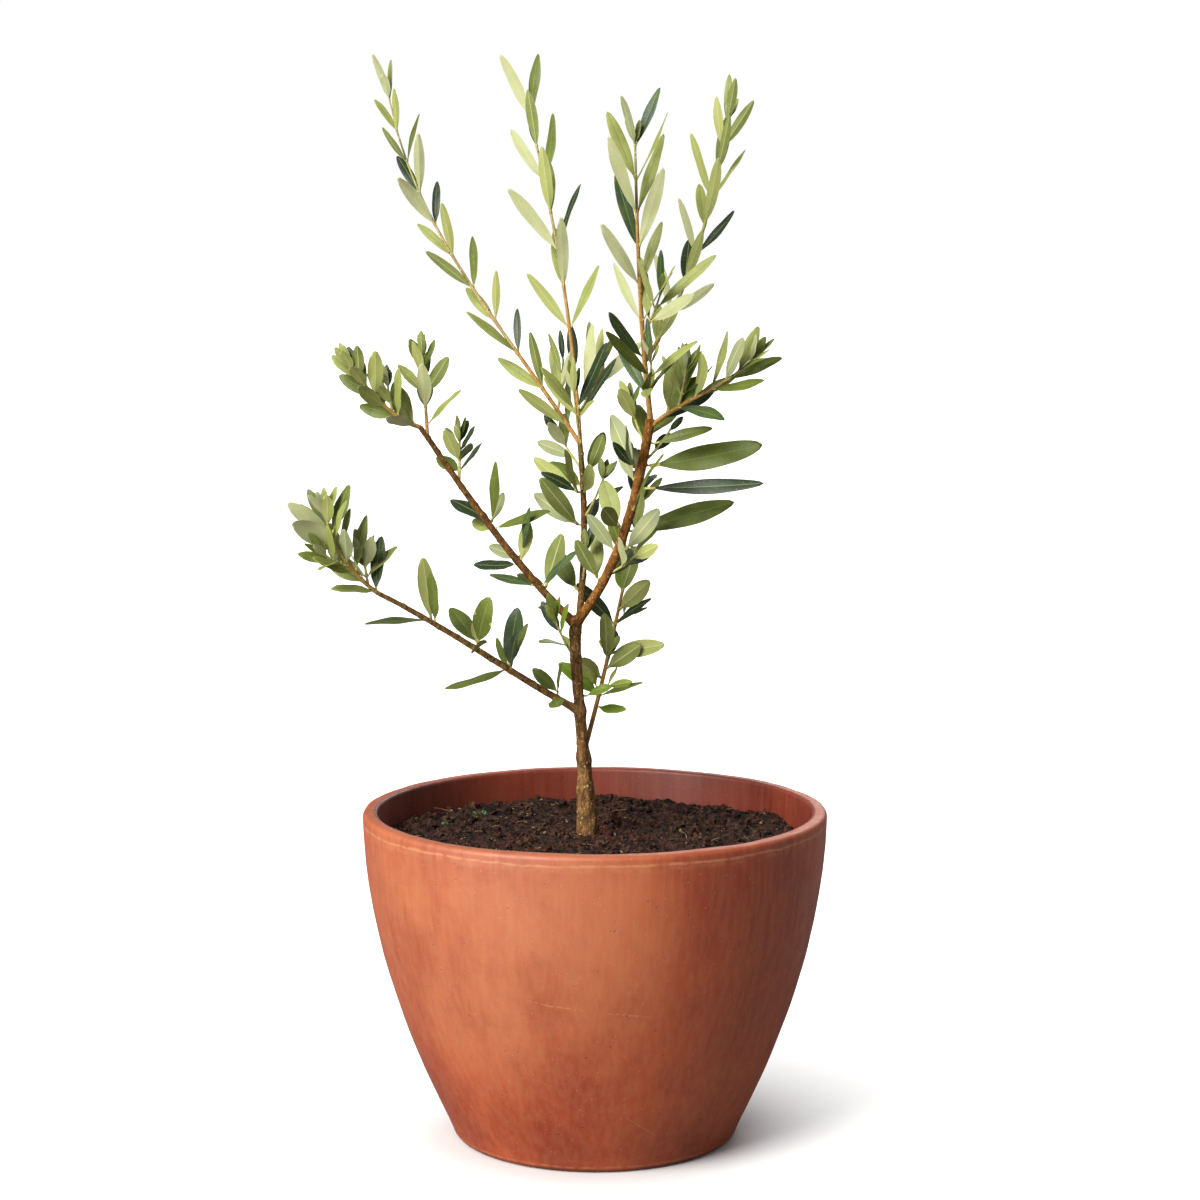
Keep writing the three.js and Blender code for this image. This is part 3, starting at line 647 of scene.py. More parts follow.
    def grow_twig(self, mass: Mass, stem: Shoot, at: float, roll: float, draw: Draw) -> None:
        """Grow a side twig with its own pairs of leaves, unless it would touch something."""
        rule = self.rule
        length = stem.length * rule.twig_share if stem.length < rule.short_shoot else rule.twig_length
        twig = Limb(**aimed(stem.branch(at, roll, rule.twig_open), rule.twig_rise), length=length,
                    radius=rule.twig_radius).grow_from(stem.point_at(at))
        turned = draw.between(0, 90)
        centres = twig.points[rule.near_stem:]
        if not self.is_clear(mass.name, centres, np.full(len(centres), rule.twig_radius[0])):
            return
        mass.stems.append(twig)
        self.claim_limb(mass.name, twig)
        leaf = tuple(stem.leaf[1] * share for share in rule.twig_leaf)
        row = replace(stem, leaf=leaf, roll=turned, pairs=rule.twig_pairs, first=rule.twig_first)
        self.grow_pairs(mass, twig, row, draw)

    def grow_spur(self, limb: Limb, spur: Spur, index: int) -> None:
        """Grow a small fan of leaves straight from a limb."""
        rule, draw = self.rule, Draw(self.rule.spur_seed + index)
        stalk = Limb(**aimed(limb.side(spur.at, spur.roll)), length=limb.radius_at(spur.at) + rule.spur_stalk,
                     radius=rule.twig_radius).grow_from(limb.point_at(spur.at))
        name = f"leaves_{limb.name.replace('bough_', '')}_{index + 1}"
        mass = Mass(name, limb.name, spur.palette, [stalk])
        tints = Draw(rule.spur_tint_seed + index)
        for i in range(spur.count):
            step = i - (spur.count - 1) / 2
            share = rule.spur_middle if step == 0 and spur.count > 1 else 1
            length = spur.leaf * share * draw.between(*rule.spur_length)
            roll = spur.roll + spur.fan * (step / max(spur.count - 1, 1)) + draw.swing(rule.spur_roll)
            opening = spur.open + draw.swing(rule.spur_open)
            wide = spur.wide * draw.between(*rule.wide_vary)
            twist = spur.twist * (1 if i % 2 else -1) + draw.swing(rule.spur_twist)
            curl = draw.between(*rule.curl)
            self.add_leaf(mass, Leaf(stalk.point_at(1 - rule.spur_sink), limb.heading(spur.at),
                                     limb.side(spur.at, roll), opening, length, wide, twist, curl, rule.lift,
                                     tints.pick(spur.palette.value)))
        if mass.leaves:
            self.masses.append(mass)
            self.spurs.append((mass, limb, spur))

    def grow_fan(self, mass: Mass, limb: Limb, spur: Spur, draw: Draw) -> None:
        """Grow a fan of leaves from the skin of a limb."""
        rule = self.rule
        for i in range(spur.count):
            roll = spur.roll + spur.fan * (i - (spur.count - 1) / 2) + draw.swing(rule.spur_roll)
            self.add_leaf(mass, Leaf(limb.root_at(spur.at, roll), limb.heading(spur.at),
                                     limb.side(spur.at, roll), spur.open + draw.swing(rule.spur_open),
                                     spur.leaf * draw.between(*rule.spur_length), spur.wide,
                                     draw.swing(spur.twist), draw.between(*rule.curl), rule.lift,
                                     draw.pick(spur.palette.value)))

    def grow_inner_leaves(self, mass: Mass, limb: Limb, spur: Spur, draw: Draw) -> None:
        """Grow shorter leaves from the other sides of a limb at a spur."""
        rule = self.sprigs
        for _ in range(rule.inner.get(limb.name, rule.inner_most)):
            at, roll = spur.at + draw.swing(rule.inner_swing), spur.roll + draw.between(*rule.inner_roll)
            self.add_leaf(mass, Leaf(limb.root_at(at, roll), limb.heading(at), limb.side(at, roll),
                                     draw.between(*rule.inner_open), draw.between(*rule.inner_leaf), rule.wide,
                                     draw.swing(rule.inner_twist), draw.between(*self.rule.curl),
                                     self.rule.lift, draw.pick(mass.palette.value)))

    def grow_spray(self, mass: Mass, limb: Limb, spur: Spur, draw: Draw) -> None:
        """Grow a short leafy twig from the far side of a limb at a spur, unless it would touch something."""
        rule = self.sprigs
        if limb.name in rule.inner:
            return
        at, roll = spur.at + draw.swing(rule.spray_swing), spur.roll + 180 + draw.swing(rule.spray_roll)
        twig = Shoot(**aimed(limb.branch(at, roll, rule.spray_open), self.rule.twig_rise),
                     length=draw.between(*rule.spray_length), radius=self.rule.twig_radius,
                     leaf=rule.spray_leaf, wide=rule.wide, open=rule.spray_leaf_open, pairs=rule.spray_pairs,
                     first=rule.spray_first, crowd=rule.spray_crowd, roll=draw.between(0, 90),
                     seed=round(draw.between(0, 1000)), palette=mass.palette).grow_from(limb.point_at(at))
        centres = twig.points[rule.spray_bare:]
        if self.is_clear(mass.name, centres, np.full(len(centres), self.rule.twig_radius[0])):
            mass.stems.append(twig)
            self.claim_limb(mass.name, twig)
            self.grow_pairs(mass, twig, twig, draw)

    def grow_sprigs(self, mass: Mass, draw: Draw) -> None:
        """Close each leafy stem with a young pair, and grow small sprigs in the axils of pairs far apart."""
        rule = self.sprigs
        share = DRESSING[mass.name][2] if mass.name in DRESSING else rule.share
        for index in sorted({index for index, _, _ in mass.knots}):
            stem = mass.stems[index]
            self.add_young_pair(mass, stem, rule.tip_leaf, rule.tip_open, draw)
            rows = [(place, roll) for owner, place, roll in mass.knots if owner == index]
            for (place, roll), (after, _) in zip(rows, rows[1:]):
                gap = (after - place) * stem.length
                for half in (0, 180):
                    if gap > rule.roomy and draw.next() < share:
                        self.grow_sprig(mass, stem, place, roll + half, gap, draw)

    def grow_sprig(self, mass: Mass, stem: Limb, place: float, roll: float, gap: float, draw: Draw) -> None:
        """Grow one small sprig in the axil of a leaf, unless it would touch something.

        Args:
            mass: The mass that it belongs to.
            stem: The stem that it stands on.
            place: Its place on the stem.
            roll: The side of the stem that it stands on.
            gap: The distance to the next pair of leaves, which sets its own leaves' length.
            draw: Where the random numbers come from.
        """
        sprig = Limb(**aimed(stem.branch(place, roll, self.sprigs.open)), radius=self.sprigs.radius,
                     length=draw.between(*self.sprigs.length)).grow_from(stem.point_at(place))
        if self.is_clear(mass.name, sprig.points[-2:], np.full(2, self.sprigs.radius[0])):
            mass.stems.append(sprig)
            leaf = tuple(gap * share for share in self.sprigs.leaf)
            self.add_young_pair(mass, sprig, leaf, self.sprigs.leaf_open, draw)

    def add_young_pair(self, mass: Mass, stem: Limb, leaf: Pair, opening: Pair,
                       draw: Draw) -> None:
        """Set two small leaves at the end of a stem."""
        turned = draw.between(0, 180)
        for half in (0, 180):
            shape = Leaf(stem.point_at(1), stem.heading(1), stem.side(1, turned + half), draw.between(*opening),
                         draw.between(*leaf), self.sprigs.wide, draw.swing(self.rule.spur_twist),
                         draw.swing(self.rule.spur_twist), 0, draw.pick(mass.palette.value))
            self.add_leaf(mass, shape)


# Shapes made once and placed many times, and the joined meshes that they go into
class TubeTemplate:
    """A closed tube of rings that ends in a point, made once and placed from arrays.

    Each vertex has a ring, a column round the ring and a share of the way along. The last vertex is the tip.
    """

    cache: ClassVar[dict[tuple[int, int], "TubeTemplate"]] = {}

    def __init__(self, sides: int, rings: int) -> None:
        """Extrude a circle ring by ring, and close it in a point."""
        shape = bmesh.new()
        bmesh.ops.create_circle(shape, cap_ends=True, segments=sides, radius=1)
        edges = list(shape.edges)
        for _ in range(rings):
            made = bmesh.ops.extrude_edge_only(shape, edges=edges)["geom"]
            ring = [v for v in made if isinstance(v, bmesh.types.BMVert)]
            edges = [e for e in made if isinstance(e, bmesh.types.BMEdge) and set(e.verts) <= set(ring)]
            bmesh.ops.translate(shape, verts=ring, vec=(0, 0, 1))
        bmesh.ops.pointmerge(shape, verts=ring, merge_co=(0, 0, rings))
        bmesh.ops.recalc_face_normals(shape, faces=list(shape.faces))
        shape.verts.index_update()
        places = np.array([v.co[:] for v in shape.verts])
        angle = np.arctan2(places[:, 1], places[:, 0])
        self.sides = sides
        self.ring = np.rint(places[:, 2]).astype(int)
        self.column = np.rint((angle - angle[0]) * sides / (2 * math.pi)).astype(int) % sides
        self.is_tip = self.ring == rings
        self.share = np.minimum(self.ring / (rings - 1), 1.0)
        self.faces = [tuple(v.index for v in f.verts) for f in shape.faces]
        self.face_column = np.array([self.column_of(face) for face in self.faces])
        self.face_share = np.array([self.share[list(face)].mean() for face in self.faces])
        shape.free()

    def column_of(self, face: Sequence[int]) -> int:
        """Return the column at which a face begins, or -1 for the cap at the foot."""
        columns = {int(self.column[v]) for v in face if not self.is_tip[v]}
        if len(columns) != 2:
            return -1
        low, high = sorted(columns)
        return high if (low == 0 and high == self.sides - 1) else low

    @classmethod
    def of(cls, sides: int, rings: int) -> "TubeTemplate":
        """Return the template with these counts, made once."""
        if (sides, rings) not in cls.cache:
            cls.cache[sides, rings] = cls(sides, rings)
        return cls.cache[sides, rings]


class JoinedMesh:
    """Gathers many closed shapes as arrays and makes one object of them."""

    def __init__(self, name: str, materials: Sequence[bpy.types.Material], smooth: bool = True) -> None:
        """Start an empty mesh with its material slots."""
        self.name, self.materials, self.smooth = name, list(materials), smooth
        self.points: list[np.ndarray] = []
        self.faces: list[tuple[int, ...]] = []
        self.slots: list[int] = []
        self.rims: list[np.ndarray] = []
        self.count = 0

    def add(self, points: np.ndarray, faces: Iterable[Sequence[int]], slots: np.ndarray | int = 0,
            rims: np.ndarray | bool = False) -> None:
        """Add one shape.

        Args:
            points: Its vertices, a row each.
            faces: The indices of each face's vertices.
            slots: The material slot of each face, or of all of them.
            rims: Which vertices lie on a crisp edge.
        """
        before = len(self.faces)
        self.faces.extend(tuple(i + self.count for i in face) for face in faces)
        added = len(self.faces) - before
        self.slots.extend(np.broadcast_to(slots, added).tolist())
        self.points.append(points)
        self.rims.append(np.broadcast_to(rims, len(points)))
        self.count += len(points)

    def build(self, slot: str, nodes: Iterable[str] = ()) -> bpy.types.Object:
        """Make the object, ride it on the part and report it.

        Args:
            slot: The name of the record's material slot; it is not used.
            nodes: The nodes of the frame that it replaces.

        Returns:
            The new object.
        """
        mesh = bpy.data.meshes.new(self.name)
        mesh.from_pydata(np.concatenate(self.points).tolist(), [], self.faces)
        for material in self.materials:
            mesh.materials.append(material)
        mesh.polygons.foreach_set("material_index", self.slots)
        mesh.polygons.foreach_set("use_smooth", [self.smooth] * len(self.faces))
        ends = np.empty(2 * len(mesh.edges), dtype=np.int32)
        mesh.edges.foreach_get("vertices", ends)
        crisp = np.concatenate(self.rims)[ends].reshape(-1, 2).all(axis=1)
        mesh.edges.foreach_set("use_edge_sharp", crisp)
        mesh.update()
        return settle(mesh, nodes)


def add_object(name: str, data: bpy.types.ID) -> bpy.types.Object:
    """Put an object that shows this data in the scene and return it."""
    item = bpy.data.objects.new(name, data)
    bpy.context.scene.collection.objects.link(item)
    return item


def settle(mesh: bpy.types.Mesh, nodes: Iterable[str] = ()) -> bpy.types.Object:
    """Make a mesh a piece of the part: it rides on the root body and stands for its nodes.

    Args:
        mesh: The finished mesh, with its place in its vertices.
        nodes: The nodes of the frame that it replaces.

    Returns:
        The new object.
    """
    piece = add_object(mesh.name, mesh)
    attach(piece, "root")
    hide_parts(*nodes)
    log.info("%s: %d faces", piece.name, len(mesh.polygons))
    return piece


def to_mesh(shape: bmesh.types.BMesh, name: str, materials: Sequence[bpy.types.Material]) -> bpy.types.Mesh:
    """Turn a bmesh into a smooth mesh with its materials, and free it."""
    mesh = bpy.data.meshes.new(name)
    for face in shape.faces:
        face.smooth = True
    shape.to_mesh(mesh)
    shape.free()
    for material in materials:
        mesh.materials.append(material)
    return mesh


def spin_profile(profile: Sequence[Pair], steps: int) -> bmesh.types.BMesh:
    """Turn a profile of radius and height once round the Z axis into a closed shape.

    Args:
        profile: Points from the axis at the bottom, out and round to the axis again.
        steps: The number of steps in the turn.

    Returns:
        The shape, facing outwards.
    """
    shape = bmesh.new()
    verts = [shape.verts.new((radius, 0, height)) for radius, height in profile]
    edges = [shape.edges.new(pair) for pair in zip(verts, verts[1:])]
    bmesh.ops.spin(shape, geom=verts + edges, cent=(0, 0, 0), axis=(0, 0, 1), dvec=(0, 0, 0),
                   angle=2 * math.pi, steps=steps, use_merge=True, use_duplicate=False)
    bmesh.ops.remove_doubles(shape, verts=list(shape.verts), dist=1e-6)
    bmesh.ops.recalc_face_normals(shape, faces=list(shape.faces))
    return shape


def quarter_round(radius: float, height: float, size: float, start: float, end: float, steps: int = 6
                  ) -> list[Pair]:
    """Return the points of a round from one angle to another, in degrees, about a centre in the profile."""
    angles = [math.radians(mix(start, end, i / steps)) for i in range(steps + 1)]
    return [(radius + size * math.cos(a), height + size * math.sin(a)) for a in angles]


def spread(low: float, high: float, count: int) -> list[float]:
    """Return values spread evenly between two ends, both included."""
    return [mix(low, high, i / count) for i in range(count + 1)]


# Finishes
class Nodes:
    """A short way to add nodes to a tree and join them."""

    def __init__(self, tree: bpy.types.NodeTree) -> None:
        """Take the tree to work on."""
        self.tree = tree

    def add(self, kind: str, inputs: dict | None = None, **settings: object) -> bpy.types.Node:
        """Add a node.

        Args:
            kind: The node's type.
            inputs: Values or sockets for its inputs, by name or number.
            settings: Its own settings.

        Returns:
            The new node.
        """
        node = self.tree.nodes.new(kind)
        for name, value in settings.items():
            setattr(node, name, value)
        for name, value in (inputs or {}).items():
            if isinstance(value, Socket):
                self.tree.links.new(value, node.inputs[name])
            else:
                node.inputs[name].default_value = value
        return node

    def math(self, operation: str, *values: object) -> Socket:
        """Return the result of a calculation on one or two values."""
        return self.add("ShaderNodeMath", dict(enumerate(values)), operation=operation).outputs[0]

    def blend(self, share: object, low: object, high: object) -> Socket:
        """Return the colour at a share of the way between two colours."""
        node = self.add("ShaderNodeMix", {0: share, 6: low, 7: high}, data_type="RGBA")
        return node.outputs[2]

    def tinge(self, body: object, mask: object, share: float, colour: str) -> Socket:
        """Return the colour, brought a share of the way to a display colour where the mask is full."""
        return self.blend(self.math("MULTIPLY", mask, share), body, linear(colour))

    def ramp(self, value: object, low: float, high: float, start: float = 0, end: float = 1
             ) -> Socket:
        """Return a value brought from one range to another, smoothly and held at its ends."""
        node = self.add("ShaderNodeMapRange", {0: value, 1: low, 2: high, 3: start, 4: end},
                        interpolation_type="SMOOTHSTEP")
        return node.outputs[0]

    def noise(self, vector: object, scale: float, detail: float = 2, roughness: float = 0.55
              ) -> Socket:
        """Return a noise from 0 to 1 over the surface."""
        node = self.add("ShaderNodeTexNoise", {"Vector": vector, "Scale": scale, "Detail": detail,
                                               "Roughness": roughness})
        return node.outputs[0]


class Effect:
    """A pattern that several materials use, built once as a node group with named inputs and outputs."""

    name: ClassVar[str] = ""
    inputs: ClassVar[dict[str, float]] = {}
    outputs: ClassVar[tuple[str, ...]] = ()

    @classmethod
    def tree(cls) -> bpy.types.NodeTree:
        """Return the group, made the first time."""
        if cls.name in bpy.data.node_groups:
            return bpy.data.node_groups[cls.name]
        tree = bpy.data.node_groups.new(cls.name, "ShaderNodeTree")
        tree.interface.new_socket(name="Vector", in_out="INPUT", socket_type="NodeSocketVector")
        for name, value in cls.inputs.items():
            socket = tree.interface.new_socket(name=name, in_out="INPUT", socket_type="NodeSocketFloat")
            socket.default_value = value
        for name in cls.outputs:
            tree.interface.new_socket(name=name, in_out="OUTPUT", socket_type="NodeSocketFloat")
        nodes = Nodes(tree)
        given = nodes.add("NodeGroupInput").outputs
        results = cls.build(nodes, given)
        nodes.add("NodeGroupOutput", dict(zip(cls.outputs, results)))
        return tree

    @classmethod
    def build(cls, nodes: Nodes, given: bpy.types.NodeOutputs) -> tuple[Socket, ...]:
        """Make the group's nodes and return what its outputs show."""
        raise NotImplementedError

    @classmethod
    def place(cls, nodes: Nodes, vector: object, **values: float) -> bpy.types.NodeOutputs:
        """Place the effect in a material and return its outputs."""
        node = nodes.add("ShaderNodeGroup", node_tree=cls.tree())
        nodes.tree.links.new(vector, node.inputs["Vector"])
        for name, value in values.items():
            node.inputs[name].default_value = value
        return node.outputs


class Mottling(Effect):
    """Broad cloudy patches and a fine grain, drawn out along Z by Stretch."""

    name = "mottling"
    inputs = {"Scale": 40.0, "Stretch": 1.0, "Contrast": 2.0}
    outputs = ("Broad", "Fine")

    @classmethod
    def build(cls, nodes: Nodes, given: bpy.types.NodeOutputs) -> tuple[Socket, ...]:
        """Two noises on the stretched place, the broad one with its contrast raised about the middle."""
        tall = nodes.math("DIVIDE", given["Scale"], given["Stretch"])
        scale = nodes.add("ShaderNodeCombineXYZ", {0: given["Scale"], 1: given["Scale"], 2: tall}).outputs[0]
        stretched = nodes.add("ShaderNodeVectorMath", {0: given["Vector"], 1: scale}, operation="MULTIPLY")
        place = stretched.outputs[0]
        broad = nodes.math("SUBTRACT", nodes.noise(place, 1, 5, 0.6), 0.5)
        broad = nodes.math("ADD", nodes.math("MULTIPLY", broad, given["Contrast"]), 0.5)
        return nodes.ramp(broad, 0, 1), nodes.noise(place, 11, 4, 0.6)


class Specks(Effect):
    """Small round spots of varied size, in a share of the cells."""

    name = "specks"
    inputs = {"Scale": 300.0, "Share": 0.2, "Size": 0.35}
    outputs = ("Mask",)

    @classmethod
    def build(cls, nodes: Nodes, given: bpy.types.NodeOutputs) -> tuple[Socket, ...]:
        """The middle of each cell whose own number falls in the share, ragged by a noise."""
        cells = nodes.add("ShaderNodeTexVoronoi", {"Vector": given["Vector"], "Scale": given["Scale"]})
        number = nodes.add("ShaderNodeSeparateColor", {0: cells.outputs["Color"]}).outputs
        ragged = nodes.math("MULTIPLY", nodes.noise(given["Vector"], 900), 0.3)
        reach = nodes.math("MULTIPLY", given["Size"], nodes.math("ADD", number[1], 0.35))
        inside = nodes.math("SUBTRACT", reach, nodes.math("ADD", cells.outputs["Distance"], ragged))
        kept = nodes.math("LESS_THAN", number[0], given["Share"])
        return (nodes.math("MULTIPLY", nodes.ramp(inside, -0.12, 0.06), kept),)


class LevelBand(Effect):
    """A wavering, broken band round the piece at one level."""

    name = "level_band"
    inputs = {"Level": 0.0, "Width": 0.001, "Waver": 0.001, "Gaps": 0.4}
    outputs = ("Mask",)

    @classmethod
    def build(cls, nodes: Nodes, given: bpy.types.NodeOutputs) -> tuple[Socket, ...]:
        """How near the wavering height is to the level, less a noise that leaves gaps."""
        height = nodes.add("ShaderNodeSeparateXYZ", {0: given["Vector"]}).outputs[2]
        waver = nodes.math("MULTIPLY", nodes.math("SUBTRACT", nodes.noise(given["Vector"], 55, 4), 0.5),
                           given["Waver"])
        away = nodes.math("ABSOLUTE", nodes.math("SUBTRACT", nodes.math("ADD", height, waver), given["Level"]))
        near = nodes.math("SUBTRACT", 1.0, nodes.math("DIVIDE", away, given["Width"]))
        broken = nodes.math("SUBTRACT", nodes.noise(given["Vector"], 140, 3), given["Gaps"])
        return (nodes.math("MULTIPLY", nodes.ramp(near, 0, 0.8), nodes.ramp(broken, -0.1, 0.2)),)


class Scratch(Effect):
    """One thin broken scratch on the front, at a place, with a length and a slope."""

    name = "scratch"
    inputs = {"Across": 0.0, "Level": 0.1, "Length": 0.05, "Slope": 0.0, "Width": 0.0006}
    outputs = ("Mask",)

    @classmethod
    def build(cls, nodes: Nodes, given: bpy.types.NodeOutputs) -> tuple[Socket, ...]:
        """How near a place is to the sloping line, within its length and on the front only."""
        x, y, z = nodes.add("ShaderNodeSeparateXYZ", {0: given["Vector"]}).outputs
        along = nodes.math("SUBTRACT", x, given["Across"])
        waver = nodes.math("MULTIPLY", nodes.math("SUBTRACT", nodes.noise(given["Vector"], 90, 3), 0.5), 0.004)
        line = nodes.math("ADD", given["Level"], nodes.math("MULTIPLY", along, given["Slope"]))
        away = nodes.math("ABSOLUTE", nodes.math("ADD", nodes.math("SUBTRACT", z, line), waver))
        near = nodes.ramp(nodes.math("DIVIDE", away, given["Width"]), 1, 0.3)
        half = nodes.math("MULTIPLY", given["Length"], 0.5)
        within = nodes.ramp(nodes.math("DIVIDE", nodes.math("ABSOLUTE", along), half), 1, 0.8)
        front = nodes.math("LESS_THAN", y, 0.0)
        broken = nodes.ramp(nodes.noise(given["Vector"], 420, 2), 0.4, 0.6)
        shown = nodes.math("MULTIPLY", front, broken)
        return (nodes.math("MULTIPLY", nodes.math("MULTIPLY", near, within), shown),)


class Surface:
    """A material being made: its nodes, the object's own coordinates and its Principled shader."""

    def __init__(self, name: str) -> None:
        """Start a material with a Principled shader."""
        self.material = bpy.data.materials.new(name)
        self.material.use_nodes = True
        self.nodes = Nodes(self.material.node_tree)
        self.shader = self.material.node_tree.nodes["Principled BSDF"]
        self.place = self.nodes.add("ShaderNodeTexCoord").outputs["Object"]

    def set(self, **sockets: object) -> None:
        """Set or link the shader's sockets, their names with _ for a space."""
        for name, value in sockets.items():
            socket = self.shader.inputs[name.replace("_", " ")]
            if isinstance(value, Socket):
                self.nodes.tree.links.new(value, socket)
            else:
                socket.default_value = value

    def bump(self, height: object, distance: float) -> None:
        """Give the surface a relief of a depth in metres."""
        node = self.nodes.add("ShaderNodeBump", {"Height": height, "Distance": distance, "Strength": 1.0})
        self.set(Normal=node.outputs[0])


@dataclass(frozen=True)
class Terracotta:
    """Unglazed fired clay with a dull shine: mottled and finely streaked, with worn edges, faint marks and a
    painted highlight on the upper front left.

    Each share says how strongly a pattern colours the clay. A band has its level, width, waver, gaps and share,
    and a scratch its place across and up the front, its length and its slope.
    """

    name: str
    dark: str
    light: str
    # The pale colour of dust, specks and scratches, also used for the painted highlight and the partly painted
    # lines under the rim.
    dust_and_painted_highlight: str = "#cd8b60"
    stain: str = "#742d1c"
    worn: str = "#b9683e"
    streak_share: float = 0.18
    stain_share: float = 0.26
    speck_share: float = 0.34
    pit_share: float = 0.5
    worn_share: float = 0.5
    scratch_share: float = 0.55
    roughness: Pair = (0.42, 0.58)
    relief: float = 0.00014
    worn_levels: Pair = (0.2248, 0.2276)
    # The painted highlight: the centre of a pale patch, its reach and its strength.
    painted_highlight_place: Triple = (-0.075, -0.135, 0.186)
    painted_highlight_reach: float = 0.16
    painted_highlight_share: float = 0.32
    foot_reach: float = 0.07
    foot_share: float = 0.1
    marks: bool = True
    # The two lines under the rim are partly a throwing line and partly a painted highlight; the one near the
    # bottom is a foot line.
    bands: ClassVar[tuple[tuple[float, float, float, float, float], ...]] = (
        (0.2214, 0.0013, 0.0036, 0.36, 0.6), (0.0042, 0.0012, 0.0016, 0.4, 0.4),
        (0.2195, 0.0040, 0.0050, 0.46, 0.22),
    )
    scratches: ClassVar[tuple[tuple[float, float, float, float], ...]] = (
        (-0.004, 0.1235, 0.084, -0.13), (0.03, 0.036, 0.022, -0.8),
    )

    def make(self) -> bpy.types.Material:
        """Return the material."""
        surface = Surface(self.name)
        nodes, place = surface.nodes, surface.place
        clouds = Mottling.place(nodes, place, Scale=11, Stretch=1.3, Contrast=2.3)
        streaks = Mottling.place(nodes, place, Scale=230, Stretch=14, Contrast=2.4)
        specks = Specks.place(nodes, place, Scale=520, Share=0.1, Size=0.36)["Mask"]
        pits = Specks.place(nodes, place, Scale=380, Share=0.06, Size=0.34)["Mask"]
        body = nodes.blend(clouds["Broad"], linear(self.dark), linear(self.light))
        body = nodes.tinge(body, streaks["Broad"], self.streak_share, self.dust_and_painted_highlight)
        stained = nodes.ramp(clouds["Fine"], 0.52, 0.78, 0, self.stain_share)
        body = nodes.blend(stained, body, linear(self.stain))
        body = nodes.tinge(body, specks, self.speck_share, self.dust_and_painted_highlight)
        body = nodes.tinge(body, pits, self.pit_share, self.stain)
        if self.marks:
            body = self.add_marks(nodes, place, self.add_foot_tone_and_painted_highlight(nodes, place, clouds["Broad"], body))
        grain = nodes.math("ADD", nodes.math("MULTIPLY", streaks["Fine"], 0.5), nodes.noise(place, 1400, 3))
        surface.bump(nodes.math("SUBTRACT", grain, nodes.math("MULTIPLY", pits, 1.2)), self.relief)
        surface.set(Base_Color=body, Roughness=nodes.ramp(clouds["Fine"], 0.2, 0.8, *self.roughness),
                    Specular_IOR_Level=0.65)
        return surface.material

    def add_foot_tone_and_painted_highlight(self, nodes: Nodes, place: object, clouds: object, body: object) -> Socket:
        """Return the colour, darker towards the foot and with a painted highlight, a broad pale patch round one
        place.
        """
        axes = nodes.add("ShaderNodeSeparateXYZ", {0: place}).outputs
        apart = 0.0
        for axis, centre in zip(axes, self.painted_highlight_place):
            off = nodes.math("SUBTRACT", axis, centre)
            apart = nodes.math("ADD", apart, nodes.math("MULTIPLY", off, off))
        # Darker towards the foot, in the stain colour, fading out upwards.
        foot = nodes.ramp(axes[2], 0, self.foot_reach, self.foot_share, 0)
        body = nodes.blend(nodes.math("MULTIPLY", foot, nodes.ramp(clouds, 0.2, 0.8, 1.5, 0)), body,
                           linear(self.stain))
        # Painted highlight: the pale colour laid on round one place, broken by the clouds.
        near = nodes.ramp(apart, 0, self.painted_highlight_reach ** 2, self.painted_highlight_share, 0)
        return nodes.blend(nodes.math("MULTIPLY", near, nodes.ramp(clouds, 0.1, 0.9, 0.6, 1.3)), body,
                           linear(self.dust_and_painted_highlight))

    def add_marks(self, nodes: Nodes, place: object, body: object) -> Socket:
        """Return the colour with the worn rim, the pale lines under the rim, which are partly a throwing line
        and partly a painted highlight, the line at the foot, and two scratches.
        """
        height = nodes.add("ShaderNodeSeparateXYZ", {0: place}).outputs[2]
        on_rim = nodes.ramp(height, *self.worn_levels, 0, self.worn_share)
        worn = nodes.math("MULTIPLY", on_rim, nodes.ramp(nodes.noise(place, 90, 5), 0.3, 0.6, 0.2, 0.7))
        body = nodes.blend(worn, body, linear(self.worn))
        for level, width, waver, gaps, share in self.bands:
            band = LevelBand.place(nodes, place, Level=level, Width=width, Waver=waver, Gaps=gaps)["Mask"]
            body = nodes.tinge(body, band, share, self.dust_and_painted_highlight)
        for across, level, length, slope in self.scratches:
            scratch = Scratch.place(nodes, place, Across=across, Level=level, Length=length, Slope=slope,
                                    Width=0.0007)["Mask"]
            body = nodes.tinge(body, scratch, self.scratch_share, self.dust_and_painted_highlight)
        return body


@dataclass(frozen=True)
class Bark:
    """Bark of a trunk, bough or twig: two colours in lengthwise patches, with pale spots and dark cracks."""

    name: str
    dark: str
    light: str
    spot: str
    crack: str = "#2b1c10"
    scale: float = 220
    ridges: float = 2.6
    ridge_share: float = 0.7
    spots: float = 0.3
    spot_share: float = 0.8
    holes: float = 0.6
    hole_share: float = 0.75
    depth: float = 0.0004
    roughness: float = 0.85

    def make(self) -> bpy.types.Material:
        """Return the material."""
        surface = Surface(self.name)
        nodes, place = surface.nodes, surface.place
        patches = Mottling.place(nodes, place, Scale=self.scale, Stretch=3, Contrast=2.4)
        fine = self.scale * self.ridges
        ridges = Mottling.place(nodes, place, Scale=fine, Stretch=2.4, Contrast=3.4)["Broad"]
        spots = Specks.place(nodes, place, Scale=560, Share=self.spots, Size=0.5)["Mask"]
        holes = Specks.place(nodes, place, Scale=430, Share=self.spots * self.holes, Size=0.42)["Mask"]
        body = nodes.blend(patches["Broad"], linear(self.dark), linear(self.light))
        body = nodes.tinge(body, ridges, self.ridge_share, self.dark)
        body = nodes.tinge(body, spots, self.spot_share, self.spot)
        body = nodes.tinge(body, holes, self.hole_share, self.crack)
        surface.set(Base_Color=body, Roughness=self.roughness, Specular_IOR_Level=0.3)
        height = nodes.math("ADD", nodes.math("SUBTRACT", spots, holes), nodes.math("SUBTRACT", 1.0, ridges))
        surface.bump(height, self.depth)
        return surface.material


